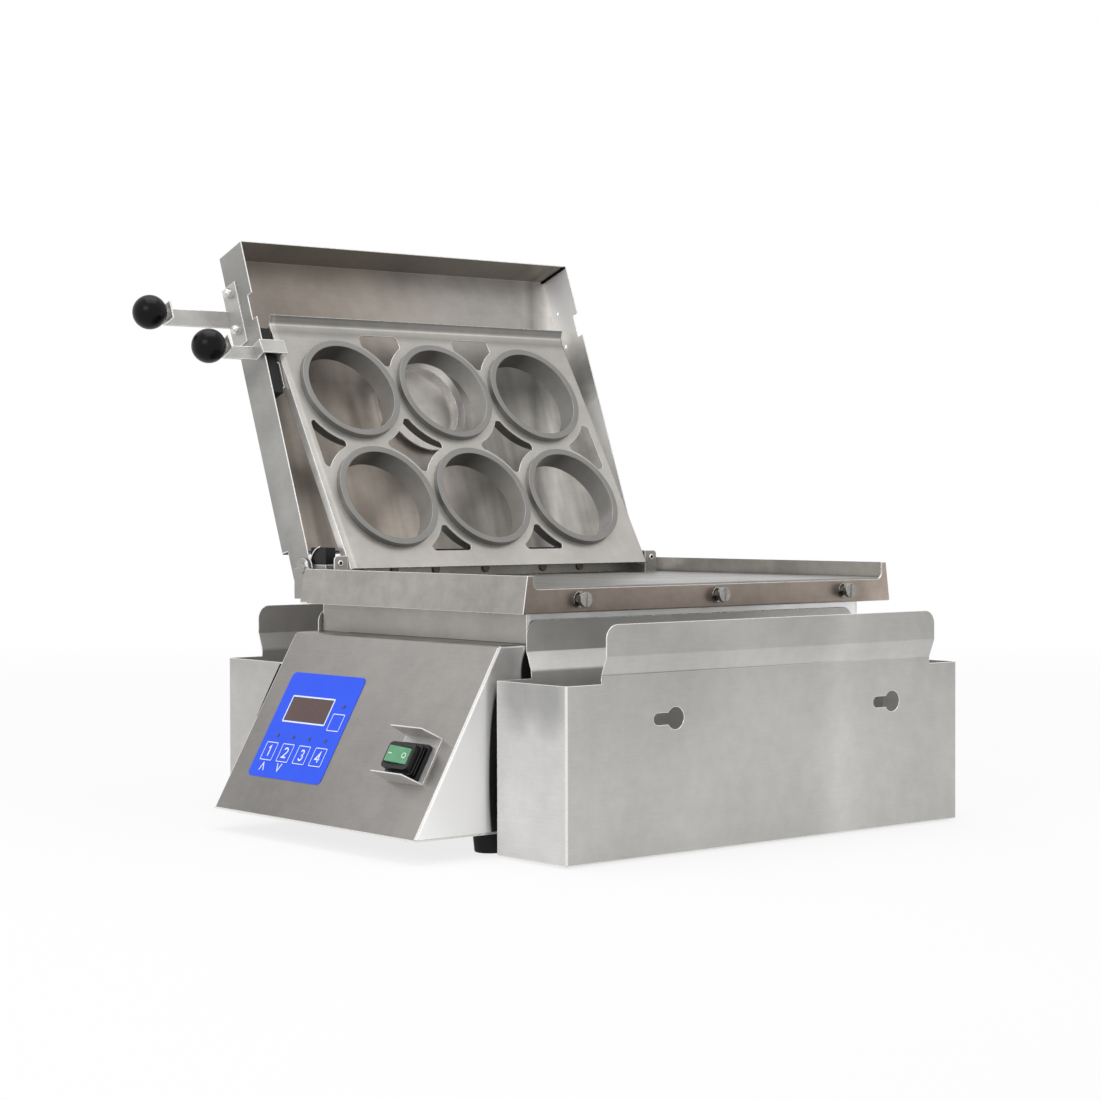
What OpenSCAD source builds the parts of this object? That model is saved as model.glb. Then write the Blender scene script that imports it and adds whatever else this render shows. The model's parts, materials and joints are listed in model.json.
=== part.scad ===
// Electric egg cooker: griddle base with a sloped control box, two side pans,
// a hinged sheet cover and a hinged frame of six egg rings.
// X runs to the right of a person facing the control panel, Y runs away, Z is up.
// Sizes are measured from the middle of the housing, with the table at Z = 0, and the finished
// part is then moved so that its origin is the centre of the front right foot's underside.

/* [Housing] */
// half the outside width of the housing
body_half_w = 162; // [140:1:190]
// front face of the upper housing
apron_y = -208.7; // [-240:0.1:-180]
// back face of the housing
back_y = 220; // [200:0.5:250]
// underside of the housing walls
body_z = 21.9; // [18:0.1:30]
// top of the housing walls
body_top = 216; // [200:0.5:230]
// top front edge of the control box, depth position
panel_top_y = -241; // [-260:0.5:-220]
// top of the control box
panel_top_z = 187.7; // [170:0.1:200]
// bottom front edge of the control box, depth position
panel_low_y = -336.1; // [-360:0.1:-300]
// housing sheet thickness
body_t = 1.5; // [1:0.1:2.5]
// foot radius
foot_r = 16; // [12:0.5:20]
// foot centre, in from the side of the housing
foot_in = 28; // [20:1:50]
// foot centre, front pair
foot_front_y = -231; // [-250:1:-200]
// foot centre, back pair
foot_back_y = 176; // [150:1:180]

/* [Griddle and frame] */
// left outside face of the griddle frame, in from the side of the housing
frame_in = 2; // [0:0.5:8]
// right outside face of the griddle frame, out from the side of the housing
frame_over = 27.5; // [20:0.5:34]
// front wall of the frame at its top edge
frame_front = -231.5; // [-245:0.5:-228]
// back wall of the frame at its top edge
frame_back = 235; // [230:0.5:250]
// how far the front and back walls flare at the bottom
frame_flare = 5.4; // [2:0.1:8]
// top of the front wall
frame_front_top = 250; // [244:0.1:256]
// top of the back wall
frame_back_top = 254.5; // [248:0.1:260]
// top of the low side walls
frame_side_top = 237.8; // [232:0.1:239]
// frame sheet thickness
frame_t = 2.5; // [1.5:0.1:4]
// top of the griddle
griddle_z = 239.5; // [232:0.5:246]
// griddle thickness
griddle_t = 12; // [8:0.5:16]

/* [Cover] */
// cover pivot, out from the left outside face of the frame
cover_pivot_out = 10.9; // [8:0.1:16]
// cover pivot, height
cover_pz = 250.15; // [246:0.05:255]
// angle of the cover in the rest pose, from closed
cover_open = 110.64; // [95:0.01:118]
// cover front wall, outside face
cover_front = -222.9; // [-226:0.1:-215]
// cover back wall, outside face
cover_back = 217.9; // [210:0.1:225]
// reach of the cover from its pivot
cover_reach = 355.8; // [330:0.1:356]
// height of the cover top above the pivot when closed
cover_rise = 34.55; // [30:0.05:40]
// depth of the cover walls
cover_d = 44.3; // [38:0.1:46]
// cover sheet thickness
cover_t = 1.2; // [0.8:0.1:2]
// radius of the round dish in the cover
dish_r = 53; // [40:1:60]
// dish centre from the pivot
dish_x = 193; // [170:1:220]

/* [Ring frame] */
// ring frame pivot, in from the left outside face of the frame
ring_pivot_in = 27.8; // [24:0.1:32]
// ring frame pivot, height
ring_pz = 256.8; // [250:0.1:262]
// angle of the ring frame in the rest pose, from closed
ring_open = 120.3; // [100:0.1:125]
// ring frame front edge
ring_front = -203.4; // [-206:0.1:-190]
// ring frame back edge
ring_back = 190.4; // [180:0.1:200]
// reach of the ring plate from its pivot
ring_reach = 277; // [260:0.5:290]
// ring plate sheet thickness
ring_t = 1.5; // [1:0.1:2.5]
// bore radius of an egg ring
ring_bore_r = 51; // [45:0.5:53]
// wall of an egg ring
ring_wall = 7; // [4:0.5:8]
// spacing of the egg rings along the hinge
ring_pitch_y = 123; // [118:0.5:126]
// spacing of the two rows of egg rings
ring_pitch_x = 129; // [120:0.5:135]
// first row from the pivot
ring_row_x = 68.5; // [67:0.5:75]
// middle of the rows along the hinge
ring_mid_y = -8; // [-10:0.5:-2]
// height of an egg ring
ring_h = 26; // [18:0.5:28]
// how far the rings stand below the plate when closed
ring_low = 6.5; // [5:0.5:8]

/* [Side pans] */
// gap between the housing and the inner wall of a side pan
pan_gap = 7.9; // [5:0.1:9]
// width of a side pan
pan_w = 96.6; // [70:0.1:120]
// half length of a side pan
pan_half_l = 252.3; // [200:0.5:260]
// pan underside above the table
pan_z = 2; // [1:0.5:6]
// pan rim
pan_rim = 157.5; // [130:0.5:165]
// pan sheet thickness
pan_t = 1.2; // [0.8:0.1:2]
// half length of the raised flaps
flap_half_l = 212.3; // [180:0.5:220]
// top of the raised flaps
flap_top = 209.4; // [190:0.1:214]
// sideways step of the flaps
flap_step = 6.6; // [3:0.1:7]
// travel of a pan from hung to free
key_run = 21; // [14:0.5:26]

/* [Handles] */
// radius of the ball knobs
knob_r = 17.5; // [14:0.5:20]
// width of the handle straps
strap_w = 19; // [14:0.5:22]
// cover knob centre, depth position
cover_knob_y = -324; // [-340:1:-300]
// ring frame knob centre, depth position
ring_knob_y = -287; // [-300:1:-275]

/* [Controls] */
// overlay left edge
lay_x0 = -132; // [-145:0.5:-120]
// overlay right edge
lay_x1 = -10.5; // [-20:0.5:0]
// overlay lower edge, measured up the panel
lay_y0 = 37; // [25:0.5:50]
// overlay upper edge, measured up the panel
lay_y1 = 148; // [130:0.5:160]
// switch centre, sideways
sw_x = 111; // [90:0.5:125]
// switch centre, measured up the panel
sw_y = 70; // [50:0.5:90]
// height of the switch guard
guard_h = 21; // [14:0.5:26]
// rocker throw
rocker_throw = 16; // [8:1:20]

/* [Hidden] */
// overrun of every cut
cut_over = 1;
// running clearance of a pin in a bore
pin_gap = 0.05;
// gap between neighbouring sheet parts
seat_gap = 0.3;
$fn = 48;

// places that follow the housing's width
foot_x = body_half_w - foot_in;
frame_left = -body_half_w + frame_in;
frame_right = body_half_w + frame_over;
cover_px = frame_left - cover_pivot_out;
ring_px = frame_left + ring_pivot_in;
pan_in = body_half_w + pan_gap;
pan_out = pan_in + pan_w;

// control panel frame
panel_rise = panel_top_z - body_z;
panel_run = panel_top_y - panel_low_y;
panel_a = atan2(panel_rise, panel_run);
panel_inset = body_t / sin(panel_a);
shelf_inset = body_t / tan(90 - panel_a / 2);

// housing details
base_t = 1.7;
foot_h = body_z - base_t;
foot_top_share = 0.87;
foot_top_r = foot_r * foot_top_share;
screw_r = 4.2;
screw_h = 2.6;
screw_hole_r = 2;
rear_inset = 14;
flange_w = 12;
inlet_x = -110;
inlet_z = 62;
inlet_w = 48;
inlet_hh = 30;
louvre_w = 70;
louvre_h = 4;
louvre_pitch = 12;
louvre_z = 120;
louvre_x = 60;
louvre_n = 5;
inlet_open_share = 0.667;

// griddle details
frame_low_z = body_top;
tab_w = 6.5;
tab_r = 6.5;
spacer_r = 7;
spacer_x = 120;
spacer_y = 180;
stud_y = 172;
stud_z = 227.8;
stud_neck_r = 4.4;
stud_head_r = 7;
stud_collar_r = 7.6;
stud_collar = 2;
stud_neck = 4.5;
stud_head = 4.5;
slot_w = 1.4;
slot_d = 1.2;
griddle_gap = 2;
heat_r = 4;
heat_link_r = 3.4;
heat_x = 110;
heat_y = 131;
heat_pitch = 44;
heat_runs = 5;

// hinge details
rail_in = 6;
ear_out = 25;
spring_w = 26;
spring_out = 6;
wire_in = 14;
rail_x = frame_left + rail_in;
rail_t = 2.5;
rail_top = 256;
rail_lap_y = 165;
rail_head_r = 4.6;
rail_head_h = 1.9;
rail_lap = 4;
rail_screw_shares = [0.087, 0.195, 0.329, 0.494, 0.691, 0.822];
ear_t = 2;
ear_r = 10;
ear_left = frame_left - ear_out;
ear_low = 219.5;
ear_gap = 1.7;
ear_flange = 24;
cover_pin_r = 3;
cover_pin_head_r = 5.2;
pin_head = 1.4;
ring_pin_r = 2.5;
ring_pin_head_r = 4.4;
rb_t = 1.5;
rb_gap = 0.8;
rail_y0 = ring_front - rb_gap;
rail_y1 = ring_back + rb_gap;
rb_half = 9;
rb_top_r = 6.2;
rb_leg = 15;
rb_leg_r = 4;
spring_x0 = frame_left - spring_out;
spring_x1 = spring_x0 + spring_w;
spring_z = 254;
spring_h = 17;
spring_y0 = -219.4;
spring_y1 = -207.4;
shelf_h = 6;
wire_r = 0.7;
wire_bend_r = 10;
wire_x = spring_x0 + wire_in;

// cover details
tab_back = 12;
tab_drop = 11;
tab_top = cover_rise - tab_drop;
top_start = 26;
cover_lip = 9;
notch_x0 = 270.5;
notch_x1 = 297;
notch_d = 8;
seam = 3;
dish_y = -3;
dish_h = 8;
dish_flat = 9;
dish_t = 1.2;
tab_corner_r = 9;
bolt_hi = 310;
bolt_lo = 269;
bolt_d = 12.5;
bolt_r = 2.1;
grip_d = 4;
grip_hi = 296;
plate_hi = 320;
plate_lo = 252.5;
plate_d = 21.5;
strap_t = 2;
nut_r = 5.6;
dome_r = 4.9;
nut_h = dome_r;
tab_l = 21;
neck_r = 6;
neck_l = 1.5;
catch_x0 = 188;
catch_x1 = 260;
catch_z0 = -5;
catch_z1 = 25;
catch_y1 = -205.4;
leaf_t = 0.8;
leaf_x0 = 192;
leaf_x1 = 224;
leaf_z0 = -9;
leaf_z1 = 20;

// ring frame details
ring_back_x = -12.4;
plate_z = -9;
ring_lip = 10.5;
lip_a = 45;
side_lip = 9;
side_x0 = -2;
ear_x1 = 11;
web_w = 9;
web_end_r = 5;
web_end_over = 0.25;
ring_ear_r = 8.5;
web_corner_r = 5.5;
web_top_x = 268;
web_top_half = 25;
web_low_x = 6;
web_side_y = 11;
web_side_half = 28;
rs_x0 = 236.5;
rs_w = 16;
rs_lap = 6;
rs_off = 5.2;
rs_y = -227.3;
rs_t = 1.6;
rs_up = 15.7;

// pan details
bend_lo = 6.7;
bend_hi = 23.5;
flap_r = 13;
key_z = 123.3;
key_mid = -4.2;
key_half = 141.8;
key_gap = 1.5;
stud_r = 5;
stud_cap_r = 8.5;
key_slot_r = stud_r + seat_gap;
key_big_r = stud_cap_r + key_gap;
stud_cap = 2.6;
stud_out = 10.4;

// panel details
lay_t = 0.4;
lay_r = 6;
win_x0 = -113;
win_x1 = -45.5;
win_y0 = 97;
win_y1 = 122;
led_r = 1.9;
led_up = 0.9;
led_in = 4;
led_y = 80.7;
led_x = -110.4;
led_pitch = 26.5;
led_side_x = -26.3;
led_side_y = 117;
key_x = -122.2;
key_y = 54;
key_w = 19.2;
key_n = 4;
key_pitch = 27.3;
key_t = 0.3;
enter_x = -37;
enter_y = 91;
enter_h = 18;
cut_w = 28;
cut_h = 19;
boot_w = 44;
boot_h = 36;
boot_lip = 4;
boot_mid_w = 36;
boot_mid_h = 26;
boot_top = 17.5;
boot_rib = 1.4;
boot_in = 14;
boot_r = 4;
boot_band_w = 39;
boot_band_h = 25;
boot_band = 4;
rk_w = 31;
rk_h = 15.5;
rk_top = 19.6;
rk_low = 9;
rk_axis = 12;
rk_gap = 0.6;
rk_floor = 6;
rk_pin_r = 1.5;
rk_pin = 2.2;
g_x0 = 86;
g_x1 = 140;
g_y0 = 50.6;
g_y1 = 97;
g_t = 1.2;
g_knee = 132;

// inside parts
slab_z0 = 190;
slab_z1 = 208;
slab_front = -188;
pcb_t = 1.6;
pcb_in = 26;
pcb_y0 = 30;
pcb_y1 = 140;
pcb_x0 = -135;
pcb_x1 = -8;
tr_x = -90;
tr_y = -120;
tr_w = 56;
tr_d = 46;
tr_h = 44;
rl_x = 40;
rl_w = 58;
rl_d = 44;
rl_h = 26;
tb_x = 90;
tb_y = 40;
tb_w = 60;
tb_d = 22;
tb_h = 20;
lim_r = 9;
lim_h = 12;
lim_x = 70;
lim_y = 60;
probe_r = 3;
probe_l = 60;

// Helpers
module block(a, b) translate(a) cube(b - a);

module tube(r, h) cylinder(r = r, h = h);

// round plate in X and Y with corner radius r
module pad(w, h, r) {
  square([w - r - r, h], center = true);
  square([w, h - r - r], center = true);
  for (sx = [-1, 1], sy = [-1, 1])
    translate([sx * (w / 2 - r), sy * (h / 2 - r)]) circle(r);
}

// drawing in Y and Z carried along X from x0 to x1
module along_x(x0, x1) translate([x0, 0, 0]) rotate([90, 0, 90])
  linear_extrude(x1 - x0) children();

// drawing in X and Z carried along Y from y0 to y1
module along_y(y0, y1) translate([0, y1, 0]) rotate([90, 0, 0])
  linear_extrude(y1 - y0) children();

module on_panel() translate([0, panel_low_y, body_z]) rotate([panel_a, 0, 0]) children();

module in_cover() translate([cover_px, 0, cover_pz]) rotate([0, -cover_open, 0]) children();

module in_ring() translate([ring_px, 0, ring_pz]) rotate([0, -ring_open, 0]) children();

// cylinder along Y
module rod_y(x, y0, y1, z, r) translate([x, y1, z]) rotate([90, 0, 0]) cylinder(r = r, h = y1 - y0);

// cylinder along X
module rod_x(x0, x1, y, z, r) translate([x0, y, z]) rotate([0, 90, 0]) cylinder(r = r, h = x1 - x0);

// Housing
// side view of the housing, with t taken off each wall for the space inside
module body_outline(t) {
  over = t == 0 ? 0 : cut_over;
  f = t == 0 ? 0 : panel_inset;
  s = t == 0 ? 0 : shelf_inset;
  polygon([[panel_low_y + f, body_z - over], [panel_low_y + f, body_z],
    [panel_top_y + s, panel_top_z - t], [apron_y + t, panel_top_z - t],
    [apron_y + t, body_top + over], [back_y + over, body_top + over], [back_y + over, body_z - over]]);
}

module housing_shell() color([0.78, 0.77, 0.75]) difference() {
  along_x(-body_half_w, body_half_w) body_outline(0);
  along_x(-body_half_w + body_t, body_half_w - body_t) body_outline(body_t);
  on_panel() {
    translate([(win_x0 + win_x1) / 2, (win_y0 + win_y1) / 2, -body_t - cut_over - cut_over])
      linear_extrude(body_t + cut_over * 3) square([win_x1 - win_x0, win_y1 - win_y0], center = true);
    led_spots() translate([0, 0, -body_t - cut_over - cut_over]) tube(led_r, body_t + cut_over * 3);
    translate([sw_x, sw_y, -body_t - cut_over - cut_over])
      linear_extrude(body_t + cut_over * 3) square([cut_w, cut_h], center = true);
  }
  for (s = [-1, 1]) stud_spots()
    rod_x(s * body_half_w - body_t - cut_over, s * body_half_w + body_t + cut_over, 0, 0, screw_hole_r);
}

module stud_spots() for (k = [-1, 1]) translate([0, key_mid + k * key_half, key_z]) children();

module base_outline() translate([-body_half_w, panel_low_y])
  square([body_half_w * 2, back_y - panel_low_y]);

module base_spots() for (sx = [-1, 1], y = [panel_low_y + rear_inset, apron_y, back_y - rear_inset])
  translate([sx * (body_half_w - rear_inset * 2), y, 0]) children();

module base_plate() color([0.7, 0.69, 0.67]) difference() {
  translate([0, 0, foot_h]) linear_extrude(base_t) base_outline();
  base_spots() translate([0, 0, foot_h - cut_over]) tube(screw_hole_r, base_t + cut_over * 2);
  foot_spots() translate([0, 0, foot_h - cut_over]) tube(screw_hole_r, base_t + cut_over * 2);
}

module base_screws() color([0.8, 0.8, 0.8]) base_spots() {
  translate([0, 0, foot_h - screw_h]) tube(screw_r, screw_h);
  translate([0, 0, foot_h]) tube(screw_hole_r, base_t);
}

module foot_spots() for (sx = [-1, 1], y = [foot_front_y, foot_back_y])
  translate([sx * foot_x, y, 0]) children();

module foot(sx, y) color([0.08, 0.08, 0.08]) translate([sx * foot_x, y, 0]) {
  cylinder(r1 = foot_top_r, r2 = foot_r, h = foot_h);
  translate([0, 0, foot_h]) tube(screw_hole_r, base_t);
}
module foot_front_left() foot(-1, foot_front_y);
module foot_front_right() foot(1, foot_front_y);
module foot_back_left() foot(-1, foot_back_y);
module foot_back_right() foot(1, foot_back_y);

module rear_cover() color([0.72, 0.71, 0.69]) difference() {
  block([-body_half_w, back_y, body_z], [body_half_w, back_y + body_t, body_top]);
  for (k = [0:louvre_n - 1]) translate([louvre_x, back_y, louvre_z + k * louvre_pitch])
    block([-louvre_w / 2, -cut_over, 0], [louvre_w / 2, body_t + cut_over, louvre_h]);
  block([inlet_x - inlet_w / 2, back_y - cut_over, inlet_z - inlet_hh / 2],
    [inlet_x + inlet_w / 2, back_y + body_t + cut_over, inlet_z + inlet_hh / 2]);
}

module power_inlet() color([0.1, 0.1, 0.1]) difference() {
  union() {
    block([inlet_x - inlet_w / 2, back_y - rear_inset * 2, inlet_z - inlet_hh / 2],
      [inlet_x + inlet_w / 2, back_y + body_t, inlet_z + inlet_hh / 2]);
    block([inlet_x - inlet_w / 2 - body_t * 2, back_y + body_t, inlet_z - inlet_hh / 2 - body_t * 2],
      [inlet_x + inlet_w / 2 + body_t * 2, back_y + body_t * 3, inlet_z + inlet_hh / 2 + body_t * 2]);
  }
  w = inlet_w * inlet_open_share;
  h = inlet_hh * inlet_open_share;
  block([inlet_x - w / 2, back_y - rear_inset, inlet_z - h / 2],
    [inlet_x + w / 2, back_y + body_t * 3 + cut_over, inlet_z + h / 2]);
}

// Griddle and its frame
// sloped end wall of the griddle frame from low to top, with its thickness running along t
module frame_wall_profile(low, top, top_z, t)
  polygon([[low, frame_low_z], [top, top_z], [top + t, top_z], [low + t, frame_low_z]]);

module frame_side_profile() difference() {
  polygon([[frame_front - frame_flare, frame_low_z], [frame_front, frame_front_top],
    [frame_back, frame_back_top], [frame_back + frame_flare, frame_low_z]]);
  y0 = frame_front + tab_w;
  y1 = frame_back - tab_w;
  translate([y0 + tab_r, frame_side_top]) square([y1 - y0 - tab_r - tab_r, frame_back_top]);
  translate([y0, frame_side_top + tab_r]) square([y1 - y0, frame_back_top]);
  for (y = [y0 + tab_r, y1 - tab_r]) translate([y, frame_side_top + tab_r]) circle(tab_r);
}

module griddle_frame() color([0.6, 0.58, 0.55]) difference() {
  union() {
    along_x(frame_left, frame_right)
      frame_wall_profile(frame_front - frame_flare, frame_front, frame_front_top, frame_t);
    along_x(frame_left, frame_right)
      frame_wall_profile(frame_back + frame_flare, frame_back, frame_back_top, -frame_t);
    along_x(frame_right - frame_t, frame_right) frame_side_profile();
    along_x(frame_left, frame_left + frame_t) frame_side_profile();
    block([frame_left, frame_front - frame_flare, frame_low_z],
      [frame_left + flange_w, frame_back + frame_flare, frame_low_z + body_t]);
    block([body_half_w - flange_w, frame_front, frame_low_z],
      [frame_right, frame_back, frame_low_z + body_t]);
  }
  stud_screws() rod_x(frame_right - frame_t - cut_over, frame_right + cut_over, 0, 0, screw_hole_r);
}

module stud_screws() for (k = [-1, 0, 1]) translate([0, k * stud_y, stud_z]) children();

module griddle_plate() color([0.75, 0.74, 0.72])
  block([frame_left + frame_t + griddle_gap, frame_front + frame_t + griddle_gap, griddle_z - griddle_t],
    [frame_right - frame_t - seat_gap, frame_back - frame_t - griddle_gap, griddle_z]);

module griddle_spacers() color([0.7, 0.7, 0.7]) for (sx = [-1, 1], sy = [-1, 1])
  translate([sx * spacer_x, sy * spacer_y, slab_z1]) tube(spacer_r, griddle_z - griddle_t - slab_z1);

module frame_stud(y) color([0.85, 0.84, 0.82]) difference() {
  tip = frame_right + stud_collar + stud_neck + stud_head;
  union() {
    rod_x(frame_right - frame_t, frame_right, y, stud_z, screw_hole_r);
    rod_x(frame_right, frame_right + stud_collar, y, stud_z, stud_collar_r);
    rod_x(frame_right + stud_collar, frame_right + stud_collar + stud_neck, y, stud_z, stud_neck_r);
    rod_x(frame_right + stud_collar + stud_neck, tip, y, stud_z, stud_head_r);
  }
  block([tip - slot_d, y - slot_w / 2, stud_z - stud_head_r - cut_over],
    [tip + cut_over, y + slot_w / 2, stud_z + stud_head_r + cut_over]);
}
module frame_stud_front() frame_stud(-stud_y);
module frame_stud_middle() frame_stud(0);
module frame_stud_back() frame_stud(stud_y);

module heater() color([0.35, 0.33, 0.32]) translate([0, 0, griddle_z - griddle_t - heat_r]) {
  x0 = -heat_pitch * (heat_runs - 1) / 2;
  for (k = [0:heat_runs - 1]) rod_y(x0 + k * heat_pitch, -heat_y, heat_y, 0, heat_r);
  for (k = [0:heat_runs - 2]) translate([x0 + k * heat_pitch, (k % 2 == 0 ? -1 : 1) * (heat_y - heat_r), 0])
    rod_x(0, heat_pitch, 0, 0, heat_link_r);
}

module temperature_probe() color([0.8, 0.8, 0.8])
  rod_y(-heat_x, -probe_l, probe_l, griddle_z - griddle_t - probe_r, probe_r);

module limit_thermostat() color([0.2, 0.2, 0.2])
  translate([lim_x, lim_y, slab_z1]) tube(lim_r, lim_h);

module insulation() color([0.9, 0.88, 0.8])
  block([-body_half_w + body_t, slab_front, slab_z0], [body_half_w - body_t, back_y, slab_z1]);

// Hinge parts on the base
module hinge_rail() color([0.72, 0.71, 0.69]) {
  block([rail_x, rail_y0, griddle_z], [rail_x + rail_t, rail_y1, rail_top]);
  block([rail_x - rail_lap, rail_lap_y, griddle_z], [rail_x, rail_y1, rail_top - rail_t]);
}

module rail_screws() color([0.5, 0.5, 0.5]) for (share = rail_screw_shares)
  rod_x(rail_x + rail_t, rail_x + rail_t + rail_head_h, rail_y0 + share * (rail_y1 - rail_y0),
    rail_top - rail_head_r * 2, rail_head_r);

// ear plate for the cover, y0 to y0 + ear_t
module cover_ear(y0, s) color([0.68, 0.67, 0.65]) difference() {
  union() {
    block([ear_left, y0, ear_low], [frame_left, y0 + ear_t, cover_pz]);
    rod_y(cover_px, y0, y0 + ear_t, cover_pz, ear_r);
    translate([0, s > 0 ? y0 : y0 + ear_t - ear_flange, 0])
      block([frame_left - ear_t, 0, ear_low], [frame_left, ear_flange, frame_side_top - seat_gap * 2]);
  }
  rod_y(cover_px, y0 - cut_over, y0 + ear_t + cut_over, cover_pz, cover_pin_r);
}
module cover_ear_front() cover_ear(cover_front - ear_gap - ear_t, 1);
module cover_ear_back() cover_ear(cover_back + ear_gap, -1);

module cover_pin_front() color([0.85, 0.85, 0.85]) {
  y0 = cover_front - ear_gap - ear_t;
  rod_y(cover_px, y0, cover_front + cover_t + pin_head, cover_pz, cover_pin_r);
  rod_y(cover_px, y0 - pin_head, y0, cover_pz, cover_pin_head_r);
}
module cover_pin_back() color([0.85, 0.85, 0.85]) {
  y1 = cover_back + ear_gap + ear_t;
  rod_y(cover_px, cover_back - cover_t - pin_head, y1, cover_pz, cover_pin_r);
  rod_y(cover_px, y1, y1 + pin_head, cover_pz, cover_pin_head_r);
}

// bracket plate at y0, with a fixing leg that runs outwards, to the side s
module ring_bracket(y0, s) color([0.7, 0.69, 0.67]) difference() {
  leg_x = ring_px + rb_half;
  top = ring_pz + rb_top_r;
  out = s > 0 ? y0 + rb_t : y0;
  union() {
    block([rail_x, y0, griddle_z], [leg_x, y0 + rb_t, ring_pz]);
    block([ring_px - rb_top_r, y0, ring_pz], [leg_x, y0 + rb_t, top]);
    along_x(leg_x - rb_t, leg_x) translate([out, 0]) mirror([s > 0 ? 0 : 1, 0]) {
      translate([-rb_t, griddle_z]) square([rb_leg + rb_t, top - rb_leg_r - griddle_z]);
      translate([-rb_t, griddle_z]) square([rb_leg + rb_t - rb_leg_r, top - griddle_z]);
      translate([rb_leg - rb_leg_r, top - rb_leg_r]) circle(rb_leg_r);
    }
  }
  rod_y(ring_px, y0 - cut_over, y0 + rb_t + cut_over, ring_pz, ring_pin_r);
}
module ring_bracket_front() {
  ring_bracket(ring_front - rb_gap - rb_t, -1);
  color([0.7, 0.69, 0.67]) for (z = [griddle_z, spring_z - shelf_h])
    block([z == griddle_z ? rail_x : spring_x0, spring_y0, z],
      [spring_x1, ring_front - rb_gap - rb_t, z == griddle_z ? spring_z - shelf_h : spring_z]);
}
module ring_bracket_back() ring_bracket(ring_back + rb_gap, 1);

module ring_pin(y0, y1, yh) color([0.85, 0.85, 0.85]) {
  rod_y(ring_px, y0, y1, ring_pz, ring_pin_r);
  difference() {
    rod_y(ring_px, yh - pin_head / 2, yh + pin_head / 2, ring_pz, ring_pin_head_r);
    block([ring_px - ring_pin_head_r - cut_over, yh - pin_head, ring_pz - slot_w / 2],
      [ring_px + ring_pin_head_r + cut_over, yh - pin_head / 2 + slot_d / 2, ring_pz + slot_w / 2]);
  }
}
module ring_pin_front() {
  y0 = ring_front - rb_gap - rb_t;
  ring_pin(y0, ring_front + ring_t + pin_head, y0 - pin_head / 2);
}
module ring_pin_back() {
  y1 = ring_back + rb_gap + rb_t;
  ring_pin(ring_back - ring_t - pin_head, y1, y1 + pin_head / 2);
}

module spring_box() color([0.05, 0.05, 0.05])
  block([spring_x0, spring_y0, spring_z], [spring_x1, spring_y1, spring_z + spring_h]);

module spring_wire() color([0.85, 0.85, 0.85])
  translate([wire_x, spring_y0 - wire_r, spring_z + wire_r]) rotate([90, 0, 0])
    rotate([0, 0, 90]) rotate_extrude(angle = 90) translate([wire_bend_r, 0]) circle(wire_r);

// Cover, drawn closed about its pivot
module cover_wall_outline() difference() {
  union() {
    translate([0, cover_rise - cover_d]) square([cover_reach, tab_top - cover_rise + cover_d]);
    translate([top_start, tab_top - cover_t])
      square([cover_reach - top_start, cover_rise - tab_top + cover_t]);
    translate([-tab_back, 0]) square([tab_back + cover_t, tab_top - tab_corner_r]);
    translate([-tab_back + tab_corner_r, tab_top - tab_corner_r]) circle(tab_corner_r);
    translate([-tab_back + tab_corner_r, 0]) square([tab_back, tab_top]);
    circle(tab_back);
  }
  circle(cover_pin_r + pin_gap);
  translate([notch_x0, cover_rise - cover_d - cut_over]) square([notch_x1 - notch_x0, notch_d + cut_over]);
}

module bolt_spots() for (x = [bolt_lo, bolt_hi]) translate([x, cover_rise - bolt_d]) children();

module cover_shell() color([0.72, 0.71, 0.69]) in_cover() difference() {
  union() {
    along_y(cover_front, cover_front + cover_t) cover_wall_outline();
    along_y(cover_back - cover_t, cover_back) cover_wall_outline();
    block([top_start, cover_front, cover_rise - cover_t], [cover_reach, cover_back, cover_rise]);
    block([cover_reach - cover_t, cover_front, cover_rise - cover_d],
      [cover_reach, cover_back - seam, cover_rise]);
    block([top_start, cover_front, cover_rise - cover_lip], [top_start + cover_t, cover_back, cover_rise]);
  }
  along_y(cover_front - cut_over, cover_front + cover_t + cut_over) bolt_spots() circle(bolt_r);
  along_y(cover_back - cover_t - cut_over, cover_back + cut_over) bolt_spots() circle(bolt_r);
}

module cover_dish() color([0.8, 0.79, 0.77]) in_cover() translate([dish_x, dish_y, cover_rise - cover_t])
  rotate([180, 0, 0]) rotate_extrude() {
    square([dish_r - dish_flat, dish_t]);
    translate([dish_r - dish_flat - dish_t, 0]) square([dish_t, dish_h]);
    translate([dish_r - dish_flat - dish_t, dish_h - dish_t]) square([dish_flat + dish_t, dish_t]);
    translate([dish_r - dish_t, dish_h - dish_t - dish_t]) square([dish_t, dish_t + dish_t]);
  }

module cover_handle() color([0.75, 0.74, 0.72]) in_cover() difference() {
  union() {
    block([plate_lo, cover_front - strap_t, cover_rise - plate_d],
      [plate_hi, cover_front, cover_rise + grip_d]);
    block([grip_hi - strap_w, cover_knob_y + knob_r + neck_l, cover_rise + grip_d - strap_t],
      [grip_hi, cover_front, cover_rise + grip_d]);
    block([grip_hi - strap_w, cover_knob_y + knob_r + neck_l, cover_rise + grip_d - tab_l],
      [grip_hi, cover_knob_y + knob_r + neck_l + strap_t, cover_rise + grip_d]);
  }
  along_y(cover_front - strap_t - cut_over, cover_front + cut_over) bolt_spots() circle(bolt_r);
}

module knob(x, y, z) {
  translate([x, y, z]) sphere(knob_r);
  rod_y(x, y, y + knob_r + neck_l, z, neck_r);
}
module cover_knob() color([0.06, 0.06, 0.06]) in_cover()
  knob(grip_hi - strap_w / 2, cover_knob_y, cover_rise + grip_d - tab_l / 2);

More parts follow.
